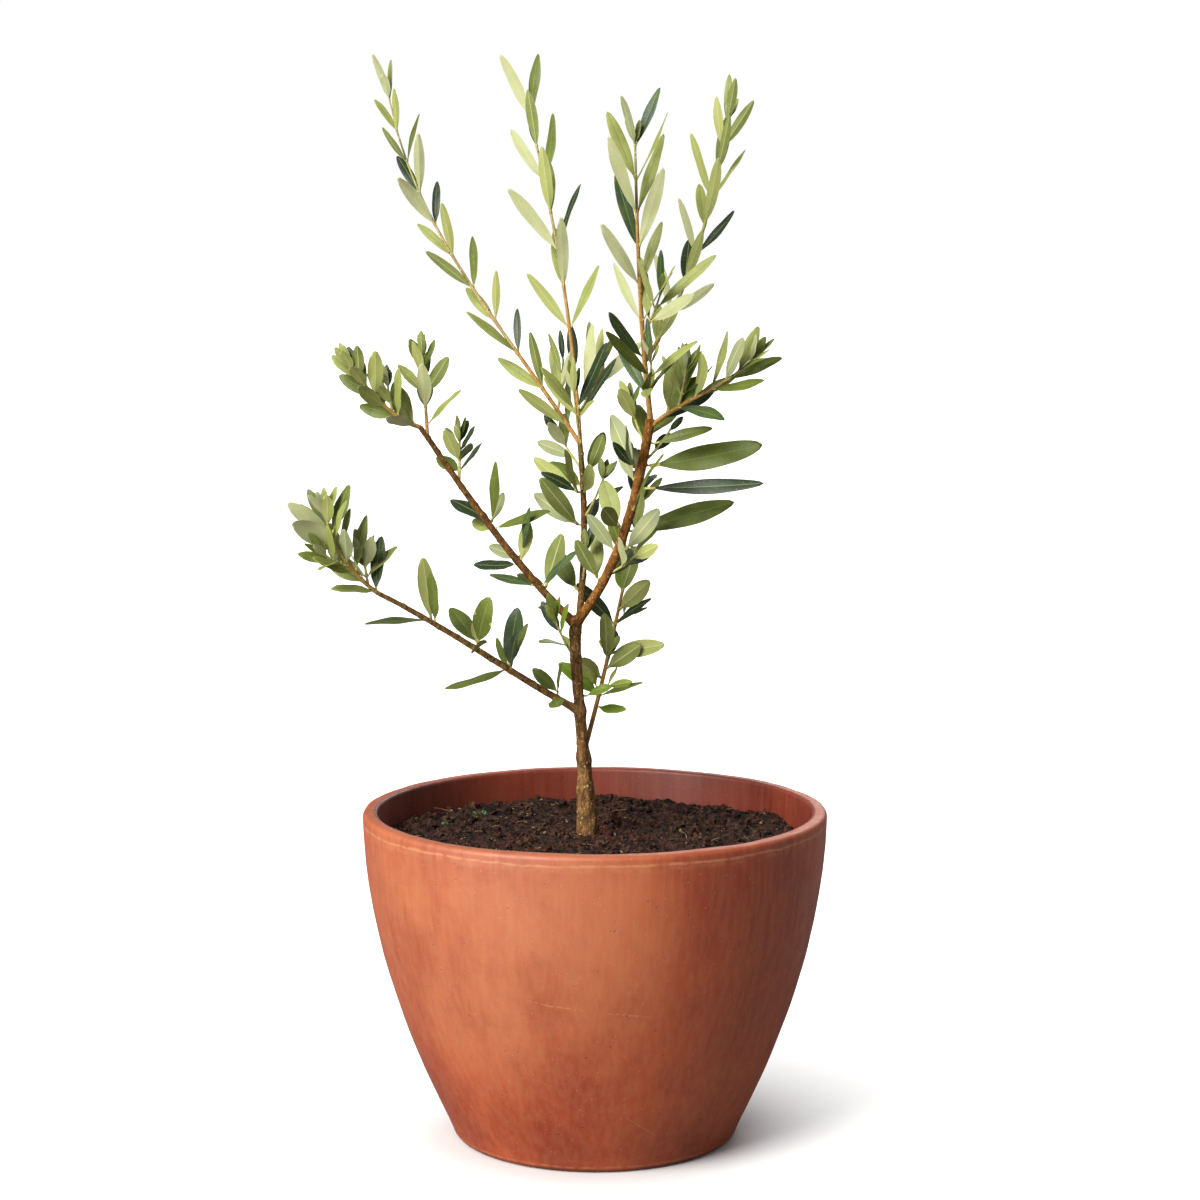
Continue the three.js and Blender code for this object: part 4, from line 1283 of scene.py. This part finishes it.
@dataclass(frozen=True)
class LeafSkin:
    """One side of a leaf: an even colour with faint cloudy patches and fine dots."""

    name: str
    colour: str
    patch: str
    gloss: float
    gloss_range: float = 0.14
    patch_share: float = 0.45
    dot: str = "#e2e3bd"
    dot_share: float = 0.12
    relief: float = 0.00012

    def make(self) -> bpy.types.Material:
        """Return the material."""
        surface = Surface(self.name)
        nodes, place = surface.nodes, surface.place
        clouds = Mottling.place(nodes, place, Scale=75, Stretch=1, Contrast=1.8)
        dots = Specks.place(nodes, place, Scale=900, Share=0.3, Size=0.4)["Mask"]
        body = nodes.tinge(linear(self.colour), clouds["Broad"], self.patch_share, self.patch)
        body = nodes.tinge(body, dots, self.dot_share, self.dot)
        dull = nodes.ramp(clouds["Fine"], 0.2, 0.8, self.gloss, self.gloss + self.gloss_range)
        surface.set(Base_Color=body, Roughness=dull, Specular_IOR_Level=0.42)
        surface.bump(clouds["Fine"], self.relief)
        return surface.material


@dataclass(frozen=True)
class Loam:
    """Damp potting mix or what lies in it: two dark colours with small pale flecks."""

    name: str
    dark: str
    light: str
    fleck: str = "#6d4a34"
    share: float = 0.07
    relief: float = 0.0008
    roughness: float = 0.93

    def make(self) -> bpy.types.Material:
        """Return the material."""
        surface = Surface(self.name)
        nodes, place = surface.nodes, surface.place
        lumps = Mottling.place(nodes, place, Scale=210, Stretch=1, Contrast=3.6)
        flecks = Specks.place(nodes, place, Scale=480, Share=self.share, Size=0.4)["Mask"]
        body = nodes.blend(lumps["Broad"], linear(self.dark), linear(self.light))
        body = nodes.blend(flecks, body, linear(self.fleck))
        surface.set(Base_Color=body, Roughness=self.roughness, Specular_IOR_Level=0.3)
        surface.bump(lumps["Fine"], self.relief)
        return surface.material


@dataclass(frozen=True)
class StudioWhite:
    """The plain white floor of the studio, bright to the eye but throwing little light back up. It glows for
    the camera, and the glow fades where the floor is sheltered, a painted shade round the pot's foot.
    """

    name: str = "studio_white"
    seen: str = "#e0e0e0"
    thrown: str = "#8a8784"
    glow: float = 0.86
    shelter: float = 0.22

    def make(self) -> bpy.types.Material:
        """Return the material."""
        surface = Surface(self.name)
        nodes = surface.nodes
        looked_at = nodes.add("ShaderNodeLightPath").outputs["Is Camera Ray"]
        open_sky = nodes.add("ShaderNodeAmbientOcclusion", {"Distance": self.shelter}).outputs["AO"]
        # Painted shade: the glow fades where the floor is sheltered near the pot.
        glow = nodes.math("MULTIPLY", nodes.ramp(open_sky, 0.35, 0.95, 0, self.glow), looked_at)
        surface.set(Base_Color=nodes.blend(looked_at, linear(self.thrown), linear(self.seen)), Roughness=0.9,
                    Specular_IOR_Level=0.1, Emission_Color=linear("#ffffff"), Emission_Strength=glow)
        return surface.material


# The parts of the plant
@dataclass
class Pot:
    """The round tapered pot, turned from one profile, with a rounded lip and a slightly uneven wall."""

    height: float
    rim_radius: float = 0.160
    foot_radius: float = 0.096
    swell: float = 1.85
    foot_edge: float = 0.007
    wall: float = 0.0105
    floor: float = 0.014
    lip_outer: float = 0.0035
    lip_inner: float = 0.0025
    soil_edge: float = 0.205
    levels: int = 34
    steps: int = 160
    uneven: float = 0.00035
    uneven_scale: float = 22
    outside: Terracotta = Terracotta("terracotta", "#923117", "#b65027")
    inside: Terracotta = Terracotta("terracotta_inside", "#672010", "#85321d", dust_and_painted_highlight="#a8603f", marks=False)

    def radius_at(self, height: float) -> float:
        """Return the radius of the outside at a height."""
        share = max(1 - height / self.height, 0)
        return self.rim_radius - (self.rim_radius - self.foot_radius) * share ** self.swell

    def profile(self) -> list[Pair]:
        """Return the profile from the middle of the underside, up the outside, over the lip and down inside."""
        foot = self.radius_at(self.foot_edge) - self.foot_edge
        outer, inner = self.height - self.lip_outer, self.height - self.lip_inner
        outside = [(self.radius_at(z), z) for z in spread(self.foot_edge, outer, self.levels)]
        inside = [(self.radius_at(z) - self.wall, z) for z in spread(self.floor, self.soil_edge, self.levels)]
        return [
            (0, 0), (foot * 0.5, 0), *quarter_round(foot, self.foot_edge, self.foot_edge, -90, -12),
            *outside[1:-1],
            *quarter_round(self.radius_at(outer) - self.lip_outer, outer, self.lip_outer, 0, 90),
            *quarter_round(self.rim_radius - self.wall + self.lip_inner, inner, self.lip_inner, 90, 180),
            *reversed(inside), (0, self.floor),
        ]

    def build(self) -> bpy.types.Object:
        """Turn the pot, make its wall a little uneven and return it."""
        shape = spin_profile(self.profile(), self.steps)
        shape.normal_update()
        for vert in shape.verts:
            if vert.co.z > self.foot_edge:
                vert.co += vert.normal * (noise.fractal(vert.co * self.uneven_scale, 0.8, 2.1, 4) * self.uneven)
        for face in shape.faces:
            middle = face.calc_center_median()
            inner = self.radius_at(middle.z) - self.wall * 0.75
            face.material_index = int(middle.xy.length < inner and middle.z > self.floor * 0.5)
        mesh = to_mesh(shape, "clay_pot", (self.outside.make(), self.inside.make()))
        return settle(mesh, ["pot"])


@dataclass
class SoilBed:
    """The crumbly soil: a bed with a rough top, and crumbs, clods, fibres and chips lying on it."""

    pot: Pot
    bottom: float
    gap: float = 0.0003
    seat_radius: float = 0.022
    seat_level: float = 0.2091
    rise: float = 0.62
    rings: int = 118
    steps: int = 390
    rough: float = 0.0045
    lumps: float = 37
    crumb_lumps: float = 210
    crumb_share: float = 0.42
    trunk_reach: float = 0.014
    trunk_rise: float = 0.0018
    trunk_clear: float = 0.0085
    crumbs: int = 4600
    crumb_size: Pair = (0.0005, 0.0017)
    clods: int = 460
    clod_size: Pair = (0.0013, 0.0046)
    grain_seeds: tuple[float, ...] = (3.1, 7.7, 12.9, 21.3)
    grain_stretch: Pair = (0.75, 1.25)
    grain_rise: Pair = (0.05, 0.5)
    few_large: float = 1.6
    fibres: int = 150
    fibre_length: Pair = (0.004, 0.014)
    fibre_radius: Pair = (0.00016, 0.00038)
    fibre_lean: tuple[Pair, Pair] = ((60, 88), (84, 112))
    fibre_turn: float = 70
    chips: int = 120
    chip_size: Pair = (0.0007, 0.0019)
    chip_wide: Pair = (0.4, 0.9)
    chip_thick: float = 0.35
    warm_place: Pair = (0.0, -0.018)
    warm_reach: float = 0.055
    seed: int = 40
    green_bits: tuple[Pair, ...] = ((-0.108, 0.043), (-0.083, 0.078))
    green_size: Triple = (0.0024, 0.0011, 0.0006)
    finishes: tuple[Loam, ...] = (
        Loam("soil_black", "#070302", "#4b2f22"), Loam("soil_brown", "#1c100b", "#5f4231", share=0.12),
        Loam("soil_reddish", "#2c170f", "#61392a", fleck="#7d563c"),
    )
    litter: tuple[Loam, ...] = (
        Loam("fibre", "#5b2f1c", "#8f5a38", fleck="#b58a5c"),
        Loam("chip_tan", "#7c5a3b", "#ad8a60", fleck="#d0b48a"),
        Loam("chip_green", "#3c6b3a", "#57a05a", fleck="#8fce86"), Loam("chip_olive", "#6f7a2f", "#9a9a4a"),
    )

    def edge_radius(self, height: float) -> float:
        """Return the radius of the soil against the wall at a height."""
        return self.pot.radius_at(height) - self.pot.wall - self.gap

    def level(self, radius: float) -> float:
        """Return the smooth level of the soil at a distance from the middle."""
        edge = self.edge_radius(self.pot.soil_edge)
        middle = (self.seat_radius + edge) / 2
        shoulder = mix(self.pot.soil_edge, self.seat_level, self.rise)
        return float(np.interp(radius, (self.seat_radius, middle, edge),
                               (self.seat_level, shoulder, self.pot.soil_edge)))

    def relief(self, x: float, y: float) -> float:
        """Return the height of the rough top above the smooth level, which never uncovers the trunk's foot."""
        coarse = noise.fractal(Vector((x, y, 0)) * self.lumps, 0.9, 2.0, 3)
        fine = 0.8 - 2.2 * abs(noise.fractal(Vector((x, y, 0.5)) * self.crumb_lumps, 0.7, 2.2, 3))
        near_trunk = math.exp(-((x - TRUNK_FOOT[0]) ** 2 + y * y) / self.trunk_reach ** 2)
        return (self.rough * (coarse + self.crumb_share * fine) * (1 - near_trunk)
                + self.trunk_rise * near_trunk)

    def build(self) -> None:
        """Build the bed and everything that lies on it."""
        self.build_bed()
        draw = Draw(self.seed)
        self.scatter_grains("soil_crumbs", self.crumbs, 1, self.crumb_size, draw)
        self.scatter_grains("soil_clods", self.clods, 2, self.clod_size, draw)
        self.scatter_fibres(draw)
        self.scatter_chips(draw)

    def build_bed(self) -> bpy.types.Object:
        """Turn the bed and roughen its top."""
        sides = [(self.edge_radius(z), z) for z in spread(self.bottom, self.pot.soil_edge, 8)]
        edge = sides[-1][0]
        top = [(r, self.level(r)) for r in spread(edge, 0, self.rings)]
        shape = spin_profile([(0, self.bottom), *sides, *top[1:]], self.steps)
        for vert in shape.verts:
            reach = vert.co.xy.length
            if reach < edge + 1e-5 and vert.co.z > self.pot.soil_edge - 1e-5:
                vert.co.z += self.relief(vert.co.x, vert.co.y)
        mesh = to_mesh(shape, "soil_bed", (self.finishes[0].make(),))
        return settle(mesh, ["soil"])

    def place_on_top(self, draw: Draw, inset: float) -> np.ndarray:
        """Return a place on the soil's top, at least an inset from the wall and clear of the trunk."""
        edge = self.edge_radius(self.pot.soil_edge) - inset
        while True:
            x, y = draw.swing(edge), draw.swing(edge)
            if math.hypot(x, y) < edge and math.hypot(x - TRUNK_FOOT[0], y) > self.trunk_clear:
                return np.array((x, y, self.level(math.hypot(x, y)) + self.relief(x, y)))

    def grain(self, detail: int, seed: float) -> tuple[np.ndarray, list[tuple[int, ...]]]:
        """Return the vertices and faces of a rough round grain of radius one."""
        shape = bmesh.new()
        bmesh.ops.create_icosphere(shape, subdivisions=detail, radius=1)
        for vert in shape.verts:
            rough = noise.fractal(vert.co * 1.7 + Vector((seed, seed * 2, 0)), 0.6, 2.3, 3)
            vert.co *= 1 + max(min(1.15 * rough, 0.5), -0.5)
        shape.verts.index_update()
        points = np.array([v.co[:] for v in shape.verts])
        faces = [tuple(v.index for v in f.verts) for f in shape.faces]
        shape.free()
        return points, faces

    def turned(self, draw: Draw, points: np.ndarray, sizes: Sequence[float]) -> np.ndarray:
        """Return points stretched by three sizes and turned at random."""
        angle = draw.between(0, 6.28)
        axis = Vector((draw.swing(1), draw.swing(1), draw.swing(1) + 2))
        return (points * np.array(sizes)) @ np.array(Matrix.Rotation(angle, 3, axis)).T

    def scatter_grains(self, name: str, count: int, detail: int, sizes: Pair, draw: Draw
                       ) -> None:
        """Scatter grains over the top.

        Args:
            name: The name of the piece.
            count: How many grains there are.
            detail: How finely each is divided.
            sizes: The smallest and greatest radius.
            draw: Where the random numbers come from.
        """
        grains = [self.grain(detail, seed) for seed in self.grain_seeds]
        joined = JoinedMesh(name, [finish.make() for finish in self.finishes], smooth=False)
        for _ in range(count):
            points, faces = draw.pick(grains)
            size = sizes[0] * (sizes[1] / sizes[0]) ** (draw.next() ** self.few_large)
            shape = self.turned(draw, points, [size * draw.between(*self.grain_stretch) for _ in range(3)])
            spot = self.place_on_top(draw, size * 1.4)
            spot[2] += size * draw.between(*self.grain_rise)
            warm = math.hypot(spot[0] - self.warm_place[0], spot[1] - self.warm_place[1]) < self.warm_reach
            joined.add(spot + shape, faces, draw.pick((0, 1, 1, 2, 2) if warm else (0, 0, 0, 1, 2)))
        joined.build("soil")

    def scatter_fibres(self, draw: Draw) -> None:
        """Scatter thin bent fibres over the top."""
        tube = TubeTemplate.of(4, 7)
        joined = JoinedMesh("soil_fibres", [self.litter[0].make(), self.litter[1].make()])
        for _ in range(self.fibres):
            length, thick = draw.between(*self.fibre_length), draw.between(*self.fibre_radius)
            fibre = Limb(azimuth=draw.between(0, 360),
                         lean=tuple(draw.between(*ends) for ends in self.fibre_lean),
                         length=length, radius=(thick, thick * 0.6), turn=draw.swing(self.fibre_turn))
            fibre.grow_from(self.place_on_top(draw, length) + np.array((0, 0, thick)))
            joined.add(tube_points(tube, fibre), tube.faces, draw.pick((0, 0, 1)))
        joined.build("soil")

    def scatter_chips(self, draw: Draw) -> None:
        """Scatter flat chips of wood and a few green bits over the top."""
        points, faces = self.grain(1, 5.5)
        joined = JoinedMesh("soil_chips", [finish.make() for finish in self.litter[1:]], smooth=False)
        for _ in range(self.chips):
            size = draw.between(*self.chip_size)
            sizes = (size, size * draw.between(*self.chip_wide), size * self.chip_thick)
            shape = self.turned(draw, points, sizes)
            spot = self.place_on_top(draw, 0.003) + np.array((0, 0, size * 0.8))
            joined.add(spot + shape, faces, draw.pick((0, 0, 0, 0, 2)))
        for x, y in self.green_bits:
            for _ in range(3):
                shape = self.turned(draw, points, self.green_size)
                spot = np.array((x + draw.swing(0.004), y + draw.swing(0.004), 0))
                spot[2] = self.level(math.hypot(x, y)) + self.relief(x, y) + 0.0014
                joined.add(spot + shape, faces, 1)
        joined.build("soil")


def tube_points(tube: TubeTemplate, limb: Limb, swell: np.ndarray | float = 0) -> np.ndarray:
    """Place a tube template along a limb.

    Args:
        tube: The template.
        limb: The limb, whose radius the tube takes.
        swell: What is added to the radius at each vertex.

    Returns:
        The vertices, a row each.
    """
    angle = 2 * math.pi * tube.column / tube.sides
    radius = np.array([limb.radius_at(t) for t in tube.share]) + swell
    radius = np.where(tube.is_tip, 0, radius)
    centre = np.array([limb.point_at(t) for t in tube.share])
    level = np.array([limb.side(t, 0) for t in tube.share])
    below = np.array([limb.side(t, 90) for t in tube.share])
    dome = np.where(tube.is_tip, limb.radius_at(1) * 0.6, 0)
    return (centre + level * (np.cos(angle) * radius)[:, None] - below * (np.sin(angle) * radius)[:, None]
            + dome[:, None] * limb.heading(1))


@dataclass
class BarkSkin:
    """The bark of the trunk or a bough, with real ridges, swollen knots and a collar at its foot.

    A knot has its place, its roll, its height and how far along the limb it reaches.
    """

    limb: Limb
    finish: Bark
    slot: str
    ridge: float = 0.0002
    lump: float = 0.00012
    collar: float = 0.0
    collar_reach: float = 0.008
    knots: tuple[tuple[float, float, float, float], ...] = ()
    sides: int = 36
    ring_gap: float = 0.0009
    ridge_round: float = 2.3
    ridge_along: float = 130.0

    def swell(self, tube: TubeTemplate) -> np.ndarray:
        """Return what the bark adds to the radius at each vertex."""
        angle = 2 * math.pi * tube.column / tube.sides
        along = tube.share * self.limb.length
        added = self.collar * np.exp(-(along / self.collar_reach) ** 2)
        for place, roll, height, reach in self.knots:
            facing = 0.5 + 0.5 * np.cos(angle - math.radians(roll))
            added = added + height * facing * np.exp(-((along - place * self.limb.length) / reach) ** 2)
        for i, (turn, far) in enumerate(zip(angle, along)):
            round_place = Vector((math.cos(turn) * self.ridge_round, math.sin(turn) * self.ridge_round,
                                  far * self.ridge_along))
            added[i] += self.ridge * noise.fractal(round_place, 0.7, 2.2, 4)
            added[i] += self.lump * noise.noise(round_place * 0.35)
        return added

    def build(self) -> bpy.types.Object:
        """Build the limb's skin and return it."""
        tube = TubeTemplate.of(self.sides, math.ceil(self.limb.length / self.ring_gap))
        joined = JoinedMesh(f"bark_of_{self.limb.name}", [self.finish.make()])
        joined.add(tube_points(tube, self.limb, self.swell(tube)), tube.faces)
        return joined.build(self.slot, [self.limb.name])


@dataclass(frozen=True)
class LeafForm:
    """How a leaf's section is folded, rounded and ribbed. The heights are shares of its half width or metres.

    The columns run round the section from one edge over the upper side to the other edge and back below.
    """

    columns: tuple[float, ...] = (1, 0.55, 0.055, -0.055, -0.55, -1, -0.55, -0.055, 0.055, 0.55)
    upper: tuple[bool, ...] = (True,) * 6 + (False,) * 4
    rib_columns: tuple[int, int] = (2, 7)
    forward: float = 1.02
    fullness: float = 0.55
    fold: Pair = (0.06, 0.3)
    rolled: float = 0.16
    thick: float = 0.00042
    stalk_thick: float = 0.0011
    rib: float = 0.00034
    groove: float = 0.00012
    rib_reach: float = 0.1
    rib_taper: float = 0.75
    wave: float = 0.09
    waves: float = 1.7
    segment: float = 0.0046
    segments: tuple[int, int] = (6, 15)
    stalk_end: float = 0.09
    blade_rings: Pair = (0.135, 0.965)

    def template(self, leaf: Leaf) -> TubeTemplate:
        """Return the tube that a leaf of this length is made from."""
        rings = 3 + min(max(round(leaf.length / self.segment), self.segments[0]), self.segments[1])
        return TubeTemplate.of(len(self.columns), rings)

    def stations(self, tube: TubeTemplate) -> np.ndarray:
        """Return how far along the leaf each vertex is: close at the stalk, then evenly to the tip."""
        rings = int(tube.ring.max())
        places = np.array([0, self.stalk_end * 0.6, self.stalk_end, *spread(*self.blade_rings, rings - 4), 1.0])
        return places[tube.ring]

    def half_width(self, leaf: Leaf, t: np.ndarray) -> np.ndarray:
        """Return the distance from midrib to edge: a stalk, then a blade with fuller ends than the solid's."""
        along = np.clip(t - leaf.STALK, 0, 1) / (1 - leaf.STALK)
        blade = np.sin(np.pi * along ** self.forward).clip(0) ** self.fullness
        return 0.5 * leaf.width * np.maximum(leaf.ROOT_WIDTH, blade)

    def points(self, leaf: Leaf, tube: TubeTemplate, draw: Draw) -> np.ndarray:
        """Return the leaf's vertices, a row each."""
        t = self.stations(tube)
        across = np.where(tube.is_tip, 0.0, np.array(self.columns)[tube.column])
        upper = np.array(self.upper)[tube.column]
        half = self.half_width(leaf, t)
        steps = np.linspace(0, 1, Leaf.STEPS + 1)
        middle = np.stack([np.interp(t, steps, leaf.midrib[:, axis]) for axis in range(3)], axis=1)
        on_blade = np.clip((t - self.stalk_end * 0.6) / (self.stalk_end * 0.9), 0, 1)
        fold, phase = draw.between(*self.fold), draw.between(0, 6.28)
        height = on_blade * half * (fold * np.abs(across) - self.rolled * np.abs(across) ** 3)
        height += on_blade * half * self.wave * across * np.sin(2 * math.pi * self.waves * t + phase)
        thick = 0.5 * mix(self.stalk_thick, self.thick, on_blade) * np.sqrt(1 - across ** 2)
        height += np.where(upper, thick, -thick)
        near_rib = (np.abs(across) < self.rib_reach) & ~tube.is_tip
        height -= np.where(near_rib & ~upper, self.rib * on_blade * (1 - self.rib_taper * t), 0)
        height -= np.where(near_rib & upper, self.groove * on_blade, 0)
        return middle + leaf.across * (across * half)[:, None] - leaf.face * height[:, None]

    def rims(self, tube: TubeTemplate) -> np.ndarray:
        """Return which vertices lie on the blade's edge."""
        return (np.abs(np.array(self.columns)[tube.column]) == 1) & ~tube.is_tip

    def slots(self, leaf: Leaf, tube: TubeTemplate) -> np.ndarray:
        """Return the material slot of each face: upper side, underside, ribs or stalk."""
        base = 2 * list(Tint).index(leaf.tint)
        rib, vein, stalk = (2 * len(Tint) + i for i in range(3))
        column = tube.face_column
        slots = np.where(column < len(self.columns) // 2, base, base + 1)
        slots = np.where(column == self.rib_columns[0], vein, slots)
        slots = np.where(column == self.rib_columns[1], rib, slots)
        rings = int(tube.ring.max())
        in_stalk = tube.face_share < 2.1 / (rings - 1)
        return np.where(in_stalk | (column < 0), stalk, slots)


@dataclass
class Foliage:
    """The leaves and twigs of the masses that one bough carries."""

    bough: str
    masses: list[Mass]
    form: LeafForm
    skins: list[bpy.types.Material]
    barks: list[bpy.types.Material]
    twig_sides: int = 8
    twig_gap: float = 0.0018
    knot: float = 0.0003
    knot_reach: float = 0.0013
    brown_from: float = 0.2
    tan_from: float = 0.09
    tan_share: float = 0.6
    fewest_rings: int = 5
    seed: int = 900

    def build(self) -> None:
        """Build one joined piece of leaves and one of twigs."""
        name = self.bough.replace("bough_", "")
        nodes = [mass.name for mass in self.masses]
        self.join_leaves(f"leaves_of_{name}").build("leaves", nodes)
        self.join_twigs(f"twigs_of_{name}").build("bough_bark", nodes)

    def join_leaves(self, name: str) -> JoinedMesh:
        """Return all the leaves in one mesh."""
        joined, draw = JoinedMesh(name, self.skins), Draw(self.seed + len(self.bough))
        for leaf in (leaf for mass in self.masses for leaf in mass.leaves):
            tube = self.form.template(leaf)
            joined.add(self.form.points(leaf, tube, draw), tube.faces, self.form.slots(leaf, tube),
                       self.form.rims(tube))
        return joined

    def join_twigs(self, name: str) -> JoinedMesh:
        """Return all the stems in one mesh, brown at the foot of a long shoot and pale green at its tip."""
        joined = JoinedMesh(name, self.barks)
        for mass in self.masses:
            for index, stem in enumerate(mass.stems):
                rings = max(math.ceil(stem.length / self.twig_gap), self.fewest_rings)
                tube = TubeTemplate.of(self.twig_sides, rings)
                along = tube.share * stem.length
                swell = np.zeros(len(along))
                for owner, place, _ in mass.knots:
                    if owner == index:
                        swell += self.knot * np.exp(-((along - place * stem.length) / self.knot_reach) ** 2)
                to_tip = (1 - tube.face_share) * stem.length
                brown = BROWN_FROM.get(mass.name, self.brown_from)
                tan = min(self.tan_from, brown * self.tan_share)
                slots = np.where(to_tip > brown, 0, np.where(to_tip > tan, 1, 2))
                joined.add(tube_points(tube, stem, swell), tube.faces, slots)
        return joined


@dataclass
class Studio:
    """The pale floor, the soft light and the camera at the photograph's viewing angle."""

    floor_size: float = 60.0
    camera_place: Triple = (0.0035, -1.834, 0.591)
    camera_drop: float = 6.8
    lens: float = 81.0
    sensor: float = 36.0
    sun_from: Pair = (225, 38)
    sun_strength: float = 4.2
    sun_spread: float = 34
    sun_colour: Triple = (1.0, 0.985, 0.96)
    panel_place: Triple = (-1.6, -1.5, 0.48)
    panel_aim: Triple = (0, 0, 0.2)
    back_place: Triple = (0.6, 1.9, 1.3)
    back_power: float = 12
    panel_size: Pair = (1.0, 0.9)
    panel_power: float = 19
    fill: float = 0.26
    floor: StudioWhite = StudioWhite()

    def build(self) -> None:
        """Build the floor, the lights and the camera."""
        self.build_floor()
        self.build_light()
        self.build_camera()
        bpy.context.scene.view_settings.view_transform = "Standard"

    def build_floor(self) -> None:
        """Lay a wide flat floor under the pot."""
        shape = bmesh.new()
        bmesh.ops.create_grid(shape, x_segments=2, y_segments=2, size=self.floor_size / 2)
        mesh = to_mesh(shape, "studio_floor", (self.floor.make(),))
        floor = add_object(mesh.name, mesh)
        log.info("%s: %d faces", floor.name, len(mesh.polygons))

    def build_light(self) -> None:
        """Light the plant softly from the upper left, with an even pale surrounding."""
        azimuth, height = (math.radians(angle) for angle in self.sun_from)
        toward = Vector((math.cos(azimuth) * math.cos(height), math.sin(azimuth) * math.cos(height),
                         math.sin(height)))
        light = bpy.data.lights.new("key_light", "SUN")
        light.energy, light.angle = self.sun_strength, math.radians(self.sun_spread)
        light.color = self.sun_colour
        add_object("key_light", light).rotation_euler = toward.to_track_quat("Z", "Y").to_euler()
        self.add_panel("front_panel", self.panel_place, self.panel_power)
        self.add_panel("back_panel", self.back_place, self.back_power)
        world = bpy.data.worlds.new("studio_surroundings")
        world.use_nodes = True
        nodes = Nodes(world.node_tree)
        seen = nodes.add("ShaderNodeLightPath").outputs["Is Camera Ray"]
        background = world.node_tree.nodes["Background"]
        background.inputs["Color"].default_value = (1, 1, 1, 1)
        strength = nodes.ramp(seen, 0, 1, self.fill, 1.0)
        world.node_tree.links.new(strength, background.inputs["Strength"])
        bpy.context.scene.world = world

    def add_panel(self, name: str, place: Triple, power: float) -> None:
        """Stand a soft panel of light at a place and aim it at the plant."""
        panel = bpy.data.lights.new(name, "AREA")
        panel.shape, panel.energy, (panel.size, panel.size_y) = "RECTANGLE", power, self.panel_size
        screen = add_object(name, panel)
        screen.location = place
        away = Vector(place) - Vector(self.panel_aim)
        screen.rotation_euler = away.to_track_quat("Z", "Y").to_euler()

    def build_camera(self) -> None:
        """Set the camera."""
        camera = bpy.data.cameras.new("camera")
        camera.lens, camera.sensor_width = self.lens, self.sensor
        camera.clip_end = self.floor_size * 2
        holder = add_object("camera", camera)
        holder.location = self.camera_place
        holder.rotation_euler = (math.radians(90 - self.camera_drop), 0, 0)
        bpy.context.scene.camera = holder


TRUNK_BARK = Bark("trunk_bark", "#563b1f", "#b5864c", "#dcb57c", scale=260, depth=0.0006)
BOUGH_BARKS = {
    "bough_low_left": Bark("bark_low_left", "#6e4e20", "#c2965a", "#b8985e", scale=300),
    "bough_mid_left": Bark("bark_mid_left", "#4a2c0e", "#96682a", "#a5865a", scale=300),
    "bough_leader": Bark("bark_leader", "#643a12", "#b0752e", "#b48c50", scale=280),
    "bough_back": Bark("bark_back", "#523414", "#9a6f30", "#b08e58", scale=300),
}
TWIG_BARKS = (
    Bark("twig_brown", "#a07438", "#d2a75c", "#c2a675", scale=420, depth=0.0002, roughness=0.7),
    Bark("twig_tan", "#a98e50", "#d3bb7c", "#d8caa0", scale=420, depth=0.0002, roughness=0.65),
    Bark("twig_green", "#a8a156", "#cdc583", "#e2ddb2", scale=420, depth=0.0001, roughness=0.6),
)
RIB_SKINS = (
    LeafSkin("leaf_rib", "#c1c585", "#b0b46c", 0.5), LeafSkin("leaf_vein", "#76803f", "#69732f", 0.45),
    LeafSkin("leaf_stalk", "#c6bd6a", "#b0a852", 0.5),
)
TRUNK_KNOTS = (
    (0.2, 210, 0.0009, 0.005), (0.345, 20, 0.0012, 0.0045), (0.37, 200, 0.0008, 0.0035),
    (0.57, 40, 0.0011, 0.004), (0.8, 200, 0.0008, 0.003), (0.93, 0, 0.0011, 0.005),
)
BOUGH_KNOTS = tuple((place, 97 * i, 0.00042, 0.0014) for i, place in enumerate(
    (0.12, 0.24, 0.35, 0.45, 0.54, 0.62, 0.71, 0.8, 0.88, 0.95)))


def leaf_materials() -> list[bpy.types.Material]:
    """Return the materials of all tints, upper side and underside in turn, and then of the ribs and stalk."""
    skins = []
    for tint, after in zip(Tint, [*list(Tint)[1:], Tint.OLIVE]):
        upper, under, gloss = tint.value
        name = tint.name.lower()
        skins.append(LeafSkin(f"leaf_{name}_upper", upper, after.value[0], gloss))
        skins.append(LeafSkin(f"leaf_{name}_under", under, Tint.OLIVE.value[1], 0.62))
    return [skin.make() for skin in (*skins, *RIB_SKINS)]


def main() -> None:
    """Build the pot, the soil, the woody limbs, the foliage and the studio in turn."""
    logging.basicConfig(level=logging.INFO, format="%(name)s: %(message)s")
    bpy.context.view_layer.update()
    pot = Pot(height=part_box("pot")[1].z)
    pot.build()
    SoilBed(pot, bottom=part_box("soil")[0].z).build()
    crown = Crown(GrowthRule(), SprigRule())
    BarkSkin(TRUNK, TRUNK_BARK, "trunk_bark", ridge=0.00048, lump=0.0004, collar=0.0012,
             collar_reach=0.035, knots=TRUNK_KNOTS, sides=48).build()
    for bough in BOUGHS:
        BarkSkin(bough, BOUGH_BARKS[bough.name], "bough_bark", collar=0.0009, knots=BOUGH_KNOTS).build()
    skins, barks = leaf_materials(), [bark.make() for bark in TWIG_BARKS]
    for limb in (TRUNK, *BOUGHS):
        masses = [mass for mass in crown.masses if mass.bough == limb.name]
        Foliage(limb.name, masses, LeafForm(), skins, barks).build()
    log.info("%d masses, %d leaves", len(crown.masses), sum(len(mass.leaves) for mass in crown.masses))
    Studio().build()


if __name__ == "__main__":
    main()
